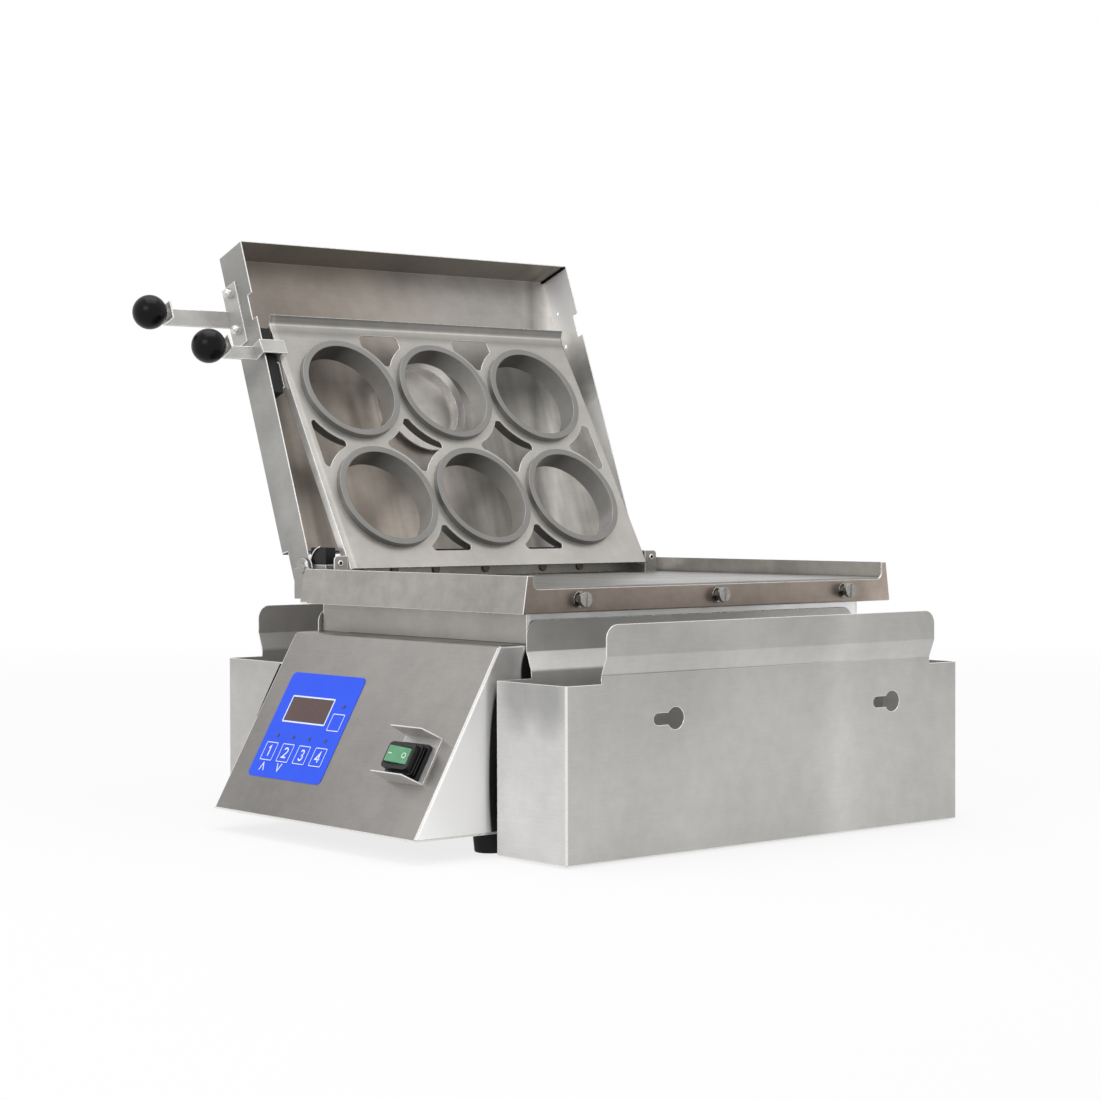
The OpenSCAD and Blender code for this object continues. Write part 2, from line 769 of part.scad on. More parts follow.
module cover_nuts() color([0.88, 0.88, 0.88]) in_cover() for (x = [bolt_lo, bolt_hi]) {
  rod_y(x, cover_front - strap_t - nut_h, cover_front - strap_t, cover_rise - bolt_d, nut_r);
  translate([x, cover_front - strap_t - nut_h, cover_rise - bolt_d]) sphere(dome_r);
  rod_y(x, cover_front - strap_t, cover_front + cover_t, cover_rise - bolt_d, bolt_r);
}

module catch_block() color([0.04, 0.04, 0.04]) in_cover()
  block([catch_x0, cover_front + cover_t, catch_z0], [catch_x1, catch_y1 - leaf_t, catch_z1]);

module catch_leaf() color([0.85, 0.85, 0.85]) in_cover()
  block([leaf_x0, catch_y1 - leaf_t, leaf_z0], [leaf_x1, catch_y1, leaf_z1]);

// Ring frame, drawn closed about its pivot
module ring_spots() for (i = [0, 1], j = [-1, 0, 1])
  translate([ring_row_x + i * ring_pitch_x, ring_mid_y + j * ring_pitch_y, 0]) children();

// opening between two rings at Y = half and Y = -half, from its round tip out to X = reach
module web_three(half, reach, half_w) {
  rho = ring_bore_r + ring_wall + web_w;
  tip = sqrt((rho + web_end_r) * (rho + web_end_r) - half * half);
  x0 = tip * rho / (rho + web_end_r);
  translate([tip, 0]) circle(web_end_r + web_end_over);
  difference() {
    union() {
      translate([x0, -half_w]) square([reach - web_corner_r - x0, half_w * 2]);
      translate([x0, -half_w + web_corner_r]) square([reach - x0, (half_w - web_corner_r) * 2]);
      for (k = [-1, 1]) translate([reach - web_corner_r, k * (half_w - web_corner_r)]) circle(web_corner_r);
    }
    for (k = [-1, 1]) translate([0, k * half]) circle(rho);
  }
}

// opening between four rings, with its four round tips
module web_four(hx, hy) {
  rho = ring_bore_r + ring_wall + web_w;
  tx = sqrt((rho + web_end_r) * (rho + web_end_r) - hy * hy);
  ty = sqrt((rho + web_end_r) * (rho + web_end_r) - hx * hx);
  in_share = rho / (rho + web_end_r);
  for (k = [-1, 1]) {
    translate([k * (hx - tx), 0]) circle(web_end_r + web_end_over);
    translate([0, k * (hy - ty)]) circle(web_end_r + web_end_over);
  }
  difference() {
    square([(hx - tx * in_share) * 2, (hy - ty * in_share) * 2], center = true);
    for (sx = [-1, 1], sy = [-1, 1]) translate([sx * hx, sy * hy]) circle(rho);
  }
}

module web_cuts() {
  hx = ring_pitch_x / 2;
  hy = ring_pitch_y / 2;
  top_x = ring_row_x + ring_pitch_x;
  for (j = [-1, 1]) translate([0, ring_mid_y + j * hy]) {
    translate([ring_row_x + hx, 0]) web_four(hx, hy);
    translate([top_x, 0]) web_three(hy, web_top_x - top_x, web_top_half);
    translate([ring_row_x, 0]) rotate(180) web_three(hy, ring_row_x - web_low_x, web_top_half);
  }
  front_y = ring_mid_y - ring_pitch_y;
  end_y = ring_mid_y + ring_pitch_y;
  translate([ring_row_x + hx, front_y]) rotate(-90)
    web_three(hx, front_y - ring_front - web_side_y, web_side_half);
  translate([ring_row_x + hx, end_y]) rotate(90)
    web_three(hx, ring_back - web_side_y - end_y, web_side_half);
}

module ring_plate() color([0.78, 0.77, 0.75]) in_ring() {
  translate([0, 0, plate_z]) linear_extrude(ring_t) difference() {
    translate([ring_back_x, ring_front]) square([ring_reach - ring_back_x, ring_back - ring_front]);
    ring_spots() circle(ring_bore_r + ring_wall);
    web_cuts();
  }
  for (y = [ring_front, ring_back - ring_t]) difference() {
    union() {
      block([side_x0, y, plate_z], [ring_reach, y + ring_t, plate_z + ring_t + side_lip]);
      block([ring_back_x, y, plate_z], [ear_x1, y + ring_t, 0]);
      rod_y(0, y, y + ring_t, 0, ring_ear_r);
    }
    rod_y(0, y - cut_over, y + ring_t + cut_over, 0, ring_pin_r + pin_gap);
  }
  translate([ring_reach, 0, plate_z + ring_t]) rotate([0, lip_a, 0])
    block([0, ring_front, -ring_t], [ring_lip, ring_back, 0]);
}

module egg_ring(i, j) color([0.45, 0.45, 0.45]) in_ring()
  translate([ring_row_x + i * ring_pitch_x, ring_mid_y + j * ring_pitch_y, plate_z - ring_low])
    difference() {
      tube(ring_bore_r + ring_wall, ring_h);
      translate([0, 0, -cut_over]) tube(ring_bore_r, ring_h + cut_over * 2);
    }
module egg_ring_1() egg_ring(1, -1);
module egg_ring_2() egg_ring(1, 0);
module egg_ring_3() egg_ring(1, 1);
module egg_ring_4() egg_ring(0, -1);
module egg_ring_5() egg_ring(0, 0);
module egg_ring_6() egg_ring(0, 1);

module ring_handle() color([0.75, 0.74, 0.72]) in_ring() {
  yk = ring_knob_y + knob_r + neck_l;
  x1 = rs_x0 + rs_w;
  z0 = plate_z - rs_t - rs_off;
  z1 = z0 + rs_up;
  block([rs_x0, ring_front, z0], [x1, ring_front + rs_lap, plate_z]);
  block([rs_x0, rs_y, z0], [x1, ring_front, z0 + rs_t]);
  block([rs_x0, rs_y, z0], [x1, rs_y + rs_t, z1]);
  block([rs_x0, yk, z1 - rs_t], [x1, rs_y + rs_t, z1]);
  block([rs_x0, yk, z1 - tab_l], [x1, yk + rs_t, z1]);
}

module ring_knob() color([0.06, 0.06, 0.06]) in_ring()
  knob(rs_x0 + rs_w / 2, ring_knob_y, plate_z - rs_t - rs_off + rs_up - tab_l / 2);

// Side pans
module keyhole() {
  circle(key_slot_r);
  translate([0, -key_slot_r]) square([key_run, key_slot_r * 2]);
  translate([key_run, 0]) circle(key_big_r);
}

module flap_profile() polygon([[0, pan_rim - pan_t], [0, pan_rim + bend_lo], [flap_step, pan_rim + bend_hi],
  [flap_step, flap_top], [flap_step - pan_t, flap_top], [flap_step - pan_t, pan_rim + bend_hi],
  [-pan_t, pan_rim + bend_lo], [-pan_t, pan_rim - pan_t]]);

module flap() intersection() {
  along_y(-flap_half_l, flap_half_l) flap_profile();
  along_x(-flap_step * 2, flap_step * 2) {
    translate([0, (pan_rim + flap_top) / 2]) pad(flap_half_l * 2, flap_top - pan_rim, flap_r);
    translate([0, pan_rim]) square([flap_half_l * 2, flap_r * 2 + pan_t * 2], center = true);
  }
}

module side_pan() difference() {
  union() {
    difference() {
      block([pan_in, -pan_half_l, pan_z], [pan_out, pan_half_l, pan_rim]);
      block([pan_in + pan_t, -pan_half_l + pan_t, pan_z + pan_t],
        [pan_out - pan_t, pan_half_l - pan_t, pan_rim + cut_over]);
    }
    translate([pan_out, 0, 0]) flap();
    translate([pan_in, 0, 0]) mirror([1, 0, 0]) flap();
  }
  stud_spots() along_x(pan_in - cut_over, pan_in + pan_t + cut_over) keyhole();
  stud_spots() along_x(pan_out - pan_t - cut_over, pan_out + cut_over) keyhole();
}
module pan_right() color([0.8, 0.79, 0.77]) side_pan();
module pan_left() color([0.8, 0.79, 0.77]) mirror([1, 0, 0]) side_pan();

module pan_studs() color([0.8, 0.8, 0.8]) for (s = [0, 1]) mirror([s, 0, 0]) stud_spots() {
  rod_x(body_half_w - body_t, body_half_w, 0, 0, screw_hole_r);
  rod_x(body_half_w, body_half_w + stud_out, 0, 0, stud_r);
  rod_x(body_half_w + stud_out, body_half_w + stud_out + stud_cap, 0, 0, stud_cap_r);
}

// Controls
module led_spots() {
  for (k = [0:key_n - 1]) translate([led_x + k * led_pitch, led_y, 0]) children();
  translate([led_side_x, led_side_y, 0]) children();
}

module overlay() color([0.25, 0.4, 1]) on_panel() {
  difference() {
    translate([(lay_x0 + lay_x1) / 2, (lay_y0 + lay_y1) / 2, 0]) linear_extrude(lay_t)
      pad(lay_x1 - lay_x0, lay_y1 - lay_y0, lay_r);
    block([win_x0, win_y0, -cut_over], [win_x1, win_y1, lay_t + cut_over]);
    led_spots() translate([0, 0, -cut_over]) tube(led_r, lay_t + cut_over * 2);
  }
  for (k = [0:key_n - 1]) translate([key_x + k * key_pitch, 0, 0])
    block([0, key_y, lay_t], [key_w, key_y + key_w, lay_t + key_t]);
  block([enter_x, enter_y, lay_t], [enter_x + key_w, enter_y + enter_h, lay_t + key_t]);
}

module display_window() color([0.12, 0.08, 0.06]) on_panel()
  block([win_x0, win_y0, -body_t], [win_x1, win_y1, lay_t]);

module panel_leds() color([0.3, 0.9, 0.3]) on_panel() led_spots()
  translate([0, 0, -led_in]) tube(led_r, led_in + led_up);

module control_board() color([0.1, 0.35, 0.2]) on_panel() {
  block([pcb_x0, pcb_y0, -pcb_in - pcb_t], [pcb_x1, pcb_y1, -pcb_in]);
  block([win_x0, win_y0, -pcb_in], [win_x1, win_y1, -body_t]);
}

module switch_boot() color([0.05, 0.05, 0.05]) on_panel() translate([sw_x, sw_y, 0]) difference() {
  union() {
    translate([0, 0, g_t]) linear_extrude(boot_lip) pad(boot_w, boot_h, boot_r);
    translate([0, 0, g_t]) linear_extrude(boot_top - g_t) pad(boot_mid_w, boot_mid_h, boot_r);
    for (z = [g_t + boot_lip + boot_rib, g_t + boot_lip + boot_rib * 3]) translate([0, 0, z])
      linear_extrude(boot_rib) pad(boot_mid_w + boot_rib * 3, boot_mid_h + boot_rib * 3, boot_r);
    translate([0, 0, boot_top - boot_band]) linear_extrude(boot_band) pad(boot_band_w, boot_band_h, boot_r);
    translate([0, 0, -boot_in]) linear_extrude(boot_in + g_t) square([cut_w, cut_h], center = true);
  }
  block([-rk_w / 2 - rk_gap, -rk_h / 2 - rk_gap, rk_floor],
    [rk_w / 2 + rk_gap, rk_h / 2 + rk_gap, boot_top + cut_over]);
  rod_y(0, -rk_h / 2 - rk_pin - rk_gap, rk_h / 2 + rk_pin + rk_gap, rk_axis, rk_pin_r + pin_gap);
}

module switch_rocker() color([0.35, 0.6, 0.45]) on_panel() translate([sw_x, sw_y, rk_axis])
  rotate([0, rocker_throw / 2, 0]) {
    along_y(-rk_h / 2, rk_h / 2) intersection() {
      translate([-rk_w / 2, rk_low - rk_axis]) square([rk_w, rk_top - rk_low]);
      circle(rk_w / 2);
    }
    rod_y(0, -rk_h / 2 - rk_pin, rk_h / 2 + rk_pin, 0, rk_pin_r);
  }

module switch_guard() color([0.8, 0.8, 0.78]) on_panel() difference() {
  union() {
    block([g_x0, g_y0, 0], [g_x1, g_y1, g_t]);
    for (u = [g_y0, g_y1 - g_t]) along_y(u, u + g_t)
      polygon([[g_x0, 0], [g_x0, guard_h], [g_knee, guard_h], [g_x1, g_t], [g_x1, 0]]);
  }
  translate([sw_x, sw_y, 0])
    block([-cut_w / 2, -cut_h / 2, -cut_over], [cut_w / 2, cut_h / 2, g_t + cut_over]);
}

// Inside the housing
module transformer() color([0.3, 0.3, 0.32])
  block([tr_x, tr_y, body_z], [tr_x + tr_w, tr_y + tr_d, body_z + tr_h]);
module power_relay() color([0.15, 0.15, 0.15])
  block([rl_x, tr_y, body_z], [rl_x + rl_w, tr_y + rl_d, body_z + rl_h]);
module terminal_block() color([0.85, 0.84, 0.8])
  block([tb_x - tb_w, tb_y, body_z], [tb_x, tb_y + tb_d, body_z + tb_h]);

// The origin is the centre of the underside of the front right foot.
translate([-foot_x, -foot_front_y, 0]) {
  housing_shell();
  base_plate();
  base_screws();
  rear_cover();
  power_inlet();
  foot_front_left();
  foot_front_right();
  foot_back_left();
  foot_back_right();
  griddle_frame();
  griddle_plate();
  griddle_spacers();
  frame_stud_front();
  frame_stud_middle();
  frame_stud_back();
  hinge_rail();
  rail_screws();
  cover_ear_front();
  cover_ear_back();
  cover_pin_front();
  cover_pin_back();
  ring_bracket_front();
  ring_bracket_back();
  ring_pin_front();
  ring_pin_back();
  spring_box();
  spring_wire();
  cover_shell();
  cover_dish();
  cover_handle();
  cover_knob();
  cover_nuts();
  catch_block();
  catch_leaf();
  ring_plate();
  egg_ring_1();
  egg_ring_2();
  egg_ring_3();
  egg_ring_4();
  egg_ring_5();
  egg_ring_6();
  ring_handle();
  ring_knob();
  pan_right();
  pan_left();
  pan_studs();
  heater();
  temperature_probe();
  limit_thermostat();
  insulation();
  control_board();
  transformer();
  power_relay();
  terminal_block();
  overlay();
  display_window();
  panel_leds();
  switch_boot();
  switch_rocker();
  switch_guard();
}
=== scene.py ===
import json
import math

import bmesh
import bpy
import numpy as np
from mathutils import Matrix, Vector
from mathutils.bvhtree import BVHTree


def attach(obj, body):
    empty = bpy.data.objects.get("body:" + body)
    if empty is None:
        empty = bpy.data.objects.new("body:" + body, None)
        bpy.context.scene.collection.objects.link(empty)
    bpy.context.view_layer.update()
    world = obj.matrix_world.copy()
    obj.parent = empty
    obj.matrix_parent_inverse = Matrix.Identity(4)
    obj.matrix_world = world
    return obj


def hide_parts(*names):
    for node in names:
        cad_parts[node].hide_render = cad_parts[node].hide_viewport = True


# Electric egg cooker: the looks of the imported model, in the part's own frame. The dictionaries of sizes and
# places are in millimetres and degrees; the looks of the materials and the studio are in metres.
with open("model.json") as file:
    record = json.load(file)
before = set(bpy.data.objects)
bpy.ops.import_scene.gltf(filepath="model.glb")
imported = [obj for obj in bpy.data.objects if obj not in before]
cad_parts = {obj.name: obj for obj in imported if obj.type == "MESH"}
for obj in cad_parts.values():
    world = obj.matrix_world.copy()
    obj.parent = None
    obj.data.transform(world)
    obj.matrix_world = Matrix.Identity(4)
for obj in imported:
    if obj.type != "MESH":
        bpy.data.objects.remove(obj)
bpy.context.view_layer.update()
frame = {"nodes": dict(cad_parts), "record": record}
nodes = frame["nodes"]
bodies = frame["record"]["behaviour"]["bodies"]
bodyOf = {name: body for body, names in bodies.items() for name in names}
mm = 0.001

# Places in the part's frame
panel = {"low": (-134.0, -105.1, 21.9), "angle": 60.16}  # middle of its lower edge, slope
coverHinge = {"pivot": (-304.9, 231.0, 250.15), "open": 110.64}
ringHinge = {"pivot": (-266.2, 231.0, 256.8), "open": 120.3}
rocker = {"across": 111.0, "up": 70.0, "axis": 12.0, "tilt": 8.0}  # on the panel


def basis(origin, first, second):
    # four rows: origin, the two given unit directions and their cross product
    first, second = np.array(first, float), np.array(second, float)
    return np.array([origin, first, second, np.cross(first, second)], float)


def inside(place, points):
    # point = origin + x * first + y * second + z * third
    return place[0] + np.asarray(points, float) @ place[1:]


def hinged(hinge):
    # x runs along the opened sheet, y along the hinge
    turn = math.radians(hinge["open"])
    return basis(hinge["pivot"], (math.cos(turn), 0, math.sin(turn)), (0, 1, 0))


slope = math.radians(panel["angle"])
tilt = math.radians(rocker["tilt"])
inPart = basis((0, 0, 0), (1, 0, 0), (0, 1, 0))
onPanel = basis(panel["low"], (1, 0, 0), (0, math.cos(slope), math.sin(slope)))
onRocker = basis(inside(onPanel, (rocker["across"], rocker["up"], rocker["axis"])),
                 math.cos(tilt) * onPanel[1] - math.sin(tilt) * onPanel[3], onPanel[2])
inCover = hinged(coverHinge)
inRing = hinged(ringHinge)

# Camera, solved from the photograph's straight edges: position in metres, lens and sensor in millimetres
camera = {"position": (1.7332, -1.3791, 0.3136), "yaw": 50.07, "pitch": -1.07, "roll": -0.14,
          "lens": 80.44, "sensor": 36.0, "reach": 60.0}


def makeCamera():
    # turned about the upright by yaw, raised by pitch, then rolled about its own line of sight
    data = bpy.data.cameras.new("photoCamera")
    data.lens = camera["lens"]
    data.sensor_width = camera["sensor"]
    data.clip_end = camera["reach"]
    item = bpy.data.objects.new("photoCamera", data)
    turn = (Matrix.Rotation(math.radians(camera["yaw"]), 4, "Z")
            @ Matrix.Rotation(math.radians(90 + camera["pitch"]), 4, "X")
            @ Matrix.Rotation(math.radians(camera["roll"]), 4, "Z"))
    item.matrix_world = Matrix.Translation(camera["position"]) @ turn
    bpy.context.scene.collection.objects.link(item)
    bpy.context.scene.camera = item
    bpy.context.scene.view_settings.view_transform = "Standard"


# Materials
def screen(*values):
    # screen values from 0 to 255 as linear light, by the sRGB curve
    return tuple(((v / 255 + 0.055) / 1.055) ** 2.4 if v > 10 else v / 255 / 12.92 for v in values)


class Finish:
    # one material, with short calls that each add a node and give back its result
    def __init__(self, name):
        self.material = bpy.data.materials.new(name)
        self.material.use_nodes = True
        self.tree = self.material.node_tree
        self.shader = self.tree.nodes["Principled BSDF"]
        coordinates = self.add("ShaderNodeTexCoord")
        self.place = coordinates.outputs["Object"]
        self.facing = coordinates.outputs["Normal"]

    def add(self, kind, **values):
        node = self.tree.nodes.new(kind)
        for key, value in values.items():
            setattr(node, key, value)
        return node

    def join(self, source, target):
        self.tree.links.new(source, target)

    def feed(self, node, key, value):
        # a result is linked, anything else becomes the socket's constant
        socket = node.inputs[key]
        if isinstance(value, bpy.types.NodeSocket):
            self.join(value, socket)
        elif socket.type == "RGBA":
            socket.default_value = (*value, 1)
        else:
            socket.default_value = value

    def noise(self, scale, detail=3.0, rough=0.5, stretch=None):
        place = self.place
        if stretch:
            mapping = self.add("ShaderNodeMapping")
            mapping.inputs["Scale"].default_value = stretch
            self.join(place, mapping.inputs["Vector"])
            place = mapping.outputs["Vector"]
        node = self.add("ShaderNodeTexNoise")
        for key, value in (("Scale", scale), ("Detail", detail), ("Roughness", rough), ("Vector", place)):
            self.feed(node, key, value)
        return node.outputs["Fac"]

    def span(self, value, low, high, fromLow, fromHigh):
        # fromLow..fromHigh carried to low..high in a straight line and held at both ends
        node = self.add("ShaderNodeMapRange")
        for key, number in (("From Min", fromLow), ("From Max", fromHigh), ("To Min", low), ("To Max", high)):
            node.inputs[key].default_value = number
        self.join(value, node.inputs["Value"])
        return node.outputs["Result"]

    def spread(self, noise, low, high, half=0.2):
        # the middle of a noise, 0.5 less half to 0.5 plus half, carried to low..high
        return self.span(noise, low, high, 0.5 - half, 0.5 + half)

    def mix(self, factor, first, second, blend="MIX", clamp=False):
        node = self.add("ShaderNodeMix", data_type="RGBA", blend_type=blend, clamp_result=clamp)
        self.feed(node, 0, factor)
        self.feed(node, 6, first)
        self.feed(node, 7, second)
        return node.outputs[2]

    def mixValue(self, factor, first, second):
        node = self.add("ShaderNodeMix", data_type="FLOAT")
        self.feed(node, 0, factor)
        self.feed(node, 2, first)
        self.feed(node, 3, second)
        return node.outputs[0]

    def math(self, operation, first, second=0.0):
        node = self.add("ShaderNodeMath", operation=operation)
        self.feed(node, 0, first)
        self.feed(node, 1, second)
        return node.outputs[0]

    def vector(self, operation, first, second=None, result="Vector"):
        node = self.add("ShaderNodeVectorMath", operation=operation)
        self.feed(node, 0, first)
        if second is not None:
            self.feed(node, 1, second)
        return node.outputs[result]

    def along(self, direction):
        # how far a point lies along a direction: their dot product
        return self.vector("DOT_PRODUCT", self.place, direction, "Value")

    def turnedTo(self, direction, low, high):
        # 0 to 1 while the dot product of the face's normal and a direction goes from low to high
        return self.span(self.vector("DOT_PRODUCT", self.facing, direction, "Value"), 0.0, 1.0, low, high)

    def bump(self, height, strength, distance):
        node = self.add("ShaderNodeBump")
        for key, value in (("Strength", strength), ("Distance", distance), ("Height", height)):
            self.feed(node, key, value)
        self.join(node.outputs["Normal"], self.shader.inputs["Normal"])

    def set(self, **values):
        names = {"colour": "Base Color", "rough": "Roughness", "metal": "Metallic", "coat": "Coat Weight",
                 "coatRough": "Coat Roughness", "specular": "Specular IOR Level",
                 "glowColour": "Emission Color", "glow": "Emission Strength"}
        for key, value in values.items():
            self.feed(self.shader, names[key], value)


# Directions: of the part, of the pans' flaps, of the open cover and of the open ring frame
right, left, back, front, top = (1, 0, 0), (-1, 0, 0), (0, 1, 0), (0, -1, 0), (0, 0, 1)
rightAndUp, leftAndUp = (1, 0, 1.2), (-1, 0, 1)
flapDown, flapUp = (0.931, 0, -0.366), (0.931, 0, 0.366)
coverFloor, coverEnd, coverUp = (0.936, 0, 0.353), (0.353, 0, -0.936), (-0.3526, 0, 0.9358)
plateFace, plateLip, plateUp = (0.863, 0, 0.504), (0.967, 0, -0.254), (-0.5045, 0, 0.8634)
# direction across the painted reflection streaks on the open cover
acrossReflectionStreaks = (0.0890, 1.0, -0.2364)  # the streaks on the open cover stand upright in the photo

# Sheet steels. Tones are screen values, lengths and places are in metres.
#   base: tone of faces that no other entry names
#   facing: direction, tone of the faces that look that way, cosines between which it fades in;
#     painted light and shade: each way a face looks gets its own lit tone
#   warmth: direction, start and end along the depth, tint of the faces that look that way
#   drift: direction, start and end along it, gain at the start and at the end; a painted gradient of light
#       and
#     shade
#   bands: direction, middle along it, half width, gain in the middle; a painted band of highlight or of shade
#   spots: direction the faces look, centre, radii, gain in the core, share of the radius that is core;
#     a painted patch of light or of shade
#   reflectionStreaks: least and most gain of painted reflection streaks across the depth, heights between
#       which
#     they come in
#   clouds: share by which slow clouds and small blotches change the tone
steelLooks = {
    # housing: painted light and shade; each side has its own lit tone, it lightens towards the top right, and
    # its right side carries painted dark shade of the gap behind the pan and of the pan's shadow near the top
    "housing": {
        "base": (139, 136, 133), "clouds": (0.07, 0.05), "metal": 0.75,
        "facing": [(front, (148, 144, 140), 0.90, 0.98), (right, (236, 235, 233), 0.6, 0.85),
                   (left, (200, 199, 197), 0.6, 0.85), (top, (144, 141, 138), 0.8, 0.95)],
        "drift": [(rightAndUp, -0.20, 0.17, 0.94, 1.42)],
        "spots": [(right, (0.028, -0.012, 0.070), (0.01, 0.012, 0.087), 0.05, 0.85),
                  (right, (0.028, 0.021, 0.160), (0.01, 0.008, 0.026), 0.05, 0.80),
                  (right, (0.028, -0.008, 0.172), (0.01, 0.035, 0.045), 0.62)],
    },
    # pan: painted light and shade; a lit tone for each way a face looks, flaps darker higher up, the inner
    # flap lightened, soft painted highlights along its side, painted shade on the front end's top, lighter at
    # its foot
    "pan": {
        "base": (208, 207, 205), "clouds": (0.08, 0.04), "metal": 0.4,
        "facing": [(right, (189, 187, 184), 0.7, 0.9), (left, (189, 187, 184), 0.7, 0.9),
                   (flapDown, (204, 203, 200), 0.965, 0.99), (flapUp, (220, 219, 216), 0.965, 0.99)],
        "drift": [(top, 0.155, 0.185, 1.0, 0.92), (top, 0.07, 0.155, 1.03, 0.91),
                  (leftAndUp, 0.116, 0.128, 1.0, 1.38)],
        "bands": [(back, 0.318, 0.040, 1.16), (back, 0.39, 0.10, 1.06)],
        "spots": [(front, (0.066, -0.0213, 0.148), (0.032, 0.01, 0.042), 0.64),
                  (front, (0.108, -0.0213, 0.147), (0.034, 0.01, 0.042), 0.64),
                  (front, (0.060, -0.0213, 0.035), (0.045, 0.01, 0.045), 1.10)],
    },
    # left pan: a darker copy of the pan look, painted shade, lighter near its foot
    "panShade": {
        "base": (172, 170, 167), "clouds": (0.06, 0.04), "metal": 0.3,
        "facing": [(right, (166, 163, 160), 0.7, 0.9), (left, (150, 148, 146), 0.7, 0.9),
                   (flapDown, (186, 184, 181), 0.965, 0.99), (flapUp, (176, 174, 171), 0.965, 0.99)],
        "drift": [(top, 0.13, 0.18, 1.2, 1.0)],
    },
    # cover: painted light and shade; a lit tone for each way a face looks, lighter towards the back, a
    # painted dark band, painted reflection streaks, and painted patches of light and shade on its walls and
    # floor
    "cover": {
        "base": (176, 175, 172), "clouds": (0.16, 0.06), "metal": 0.42,
        "facing": [(coverFloor, (152, 149, 145), 0.8, 0.95), (coverEnd, (112, 106, 99), 0.8, 0.95)],
        "warmth": (coverFloor, 0.12, 0.36, (1.05, 0.96, 0.88)),
        "reflectionStreaks": (0.62, 1.5, 0.42, 0.50),
        "drift": [(back, 0.03, 0.36, 0.90, 1.42), (back, 0.015, 0.06, 1.4, 1.0),
                  (back, 0.40, 0.446, 1.0, 1.7)],
        "bands": [(coverUp, 0.5606, 0.035, 0.6), (acrossReflectionStreaks, 0.279, 0.013, 1.42),
                  (acrossReflectionStreaks, 0.2536, 0.011, 0.66)],
        "spots": [(front, (-0.45, 0.007, 0.57), (0.12, 0.03, 0.13), 0.55),
                  (front, (-0.40, 0.007, 0.43), (0.12, 0.03, 0.16), 0.80),
                  (coverFloor, (-0.36, 0.02, 0.31), (0.08, 0.05, 0.12), 1.65),
                  (front, (-0.386, 0.4478, 0.478), (0.05, 0.01, 0.032), 0.55),
                  (front, (-0.361, 0.4478, 0.408), (0.04, 0.01, 0.036), 1.55),
                  (coverFloor, (-0.402, 0.1731, 0.4148), (0.02, 0.0045, 0.030), 1.9, 0.6),
                  (coverFloor, (-0.400, 0.155, 0.415), (0.02, 0.012, 0.040), 0.7)],
    },
    "dish": {"base": (205, 201, 197), "clouds": (0.24, 0.10), "metal": 0.6},
    # ring plate: painted light and shade; the lip darker and the side flange lightened, a painted highlight
    # along the lip's bend with painted shade on either side, and a painted highlight along the side flange's
    # ridge
    "ringPlate": {
        "base": (128, 127, 124), "clouds": (0.07, 0.05), "metal": 0.7,
        "facing": [(plateFace, (180, 177, 172), 0.8, 0.95), (plateLip, (140, 138, 134), 0.9, 0.98),
                   (front, (236, 234, 230), 0.8, 0.95)],
        "drift": [(top, 0.26, 0.48, 1.10, 0.90)],
        "bands": [(plateUp, 0.6325, 0.0022, 1.7), (plateUp, 0.6235, 0.0070, 0.70),
                  (plateUp, 0.6385, 0.0016, 0.72), (back, 0.0325, 0.0035, 1.35)],
    },
    # bore walls of the egg rings: painted shade, with a painted light tone on faces that look to the front
    "ringBoreShade": {"base": (98, 97, 95), "clouds": (0.05, 0.06), "metal": 0.6,
                 "facing": [(front, (196, 195, 192), 0.15, 0.98)]},
    # griddle frame band: painted light and shade; darker tone on its sides, lighter towards the back
    "band": {
        "base": (168, 164, 159), "clouds": (0.08, 0.09), "metal": 0.72,
        "facing": [(right, (141, 130, 121), 0.7, 0.9), (left, (141, 130, 121), 0.7, 0.9)],
        "drift": [(back, 0.0, 0.5, 0.94, 1.26), (back, 0.43, 0.45, 1.0, 1.3)],
    },
    "strap": {"base": (186, 184, 181), "clouds": (0.14, 0.07), "metal": 0.5},
    "guard": {"base": (196, 194, 191), "clouds": (0.08, 0.05), "metal": 0.5,
              "facing": [(right, (206, 204, 201), 0.7, 0.9)]},
    "bracket": {"base": (160, 158, 153), "clouds": (0.09, 0.08), "metal": 0.6},
    "rail": {"base": (165, 163, 158), "clouds": (0.10, 0.06), "metal": 0.7},
    "griddle": {"base": (146, 144, 140), "clouds": (0.18, 0.05), "metal": 0.7,
                "facing": [(top, (140, 139, 136), 0.8, 0.95)]},
}
# What all sheet steels share: their noises, how far from its middle each noise counts, and the cosines
# between which a warm tint and a painted patch of light and shade fade in
brushing = {
    "clouds": {"scale": 6.5, "detail": 3.0, "rough": 0.55},
    "blotches": {"scale": 60.0, "detail": 5.0, "rough": 0.65},
    "lines": {"scale": 1.0, "detail": 2.0, "rough": 0.5, "stretch": (30.0, 30.0, 2200.0)},
    "reflectionStreaks": {"scale": 1.0, "detail": 3.0, "rough": 0.6, "stretch": (2.0, 17.0, 2.0)},
    "sheen": {"scale": 26.0, "detail": 5.0, "rough": 0.6},
    "spread": {"clouds": 0.14, "blotches": 0.16, "lines": 0.15, "reflectionStreaks": 0.14, "sheen": 0.15},
    "warmFace": (0.7, 0.9), "spotFace": (0.6, 0.85), "core": 0.35,
    "lineGain": 0.03, "lineDepth": 0.0001, "lineStrength": 0.05, "roughness": (0.30, 0.42), "specular": 0.3,
}


def paintedSpot(n, direction, centre, radii, gain, core=brushing["core"]):
    # a painted patch of light or shade: distance from the centre with each axis divided by its radius, the
    # gain up to core, fading to one at the edge of the ellipsoid, and only on faces that look along direction
    away = n.vector("DIVIDE", n.vector("SUBTRACT", n.place, centre), radii)
    near = n.span(n.vector("LENGTH", away, result="Value"), 1.0, 0.0, core, 1.0)
    share = n.math("MULTIPLY", near, n.turnedTo(direction, *brushing["spotFace"]))
    return n.mixValue(share, 1.0, gain)


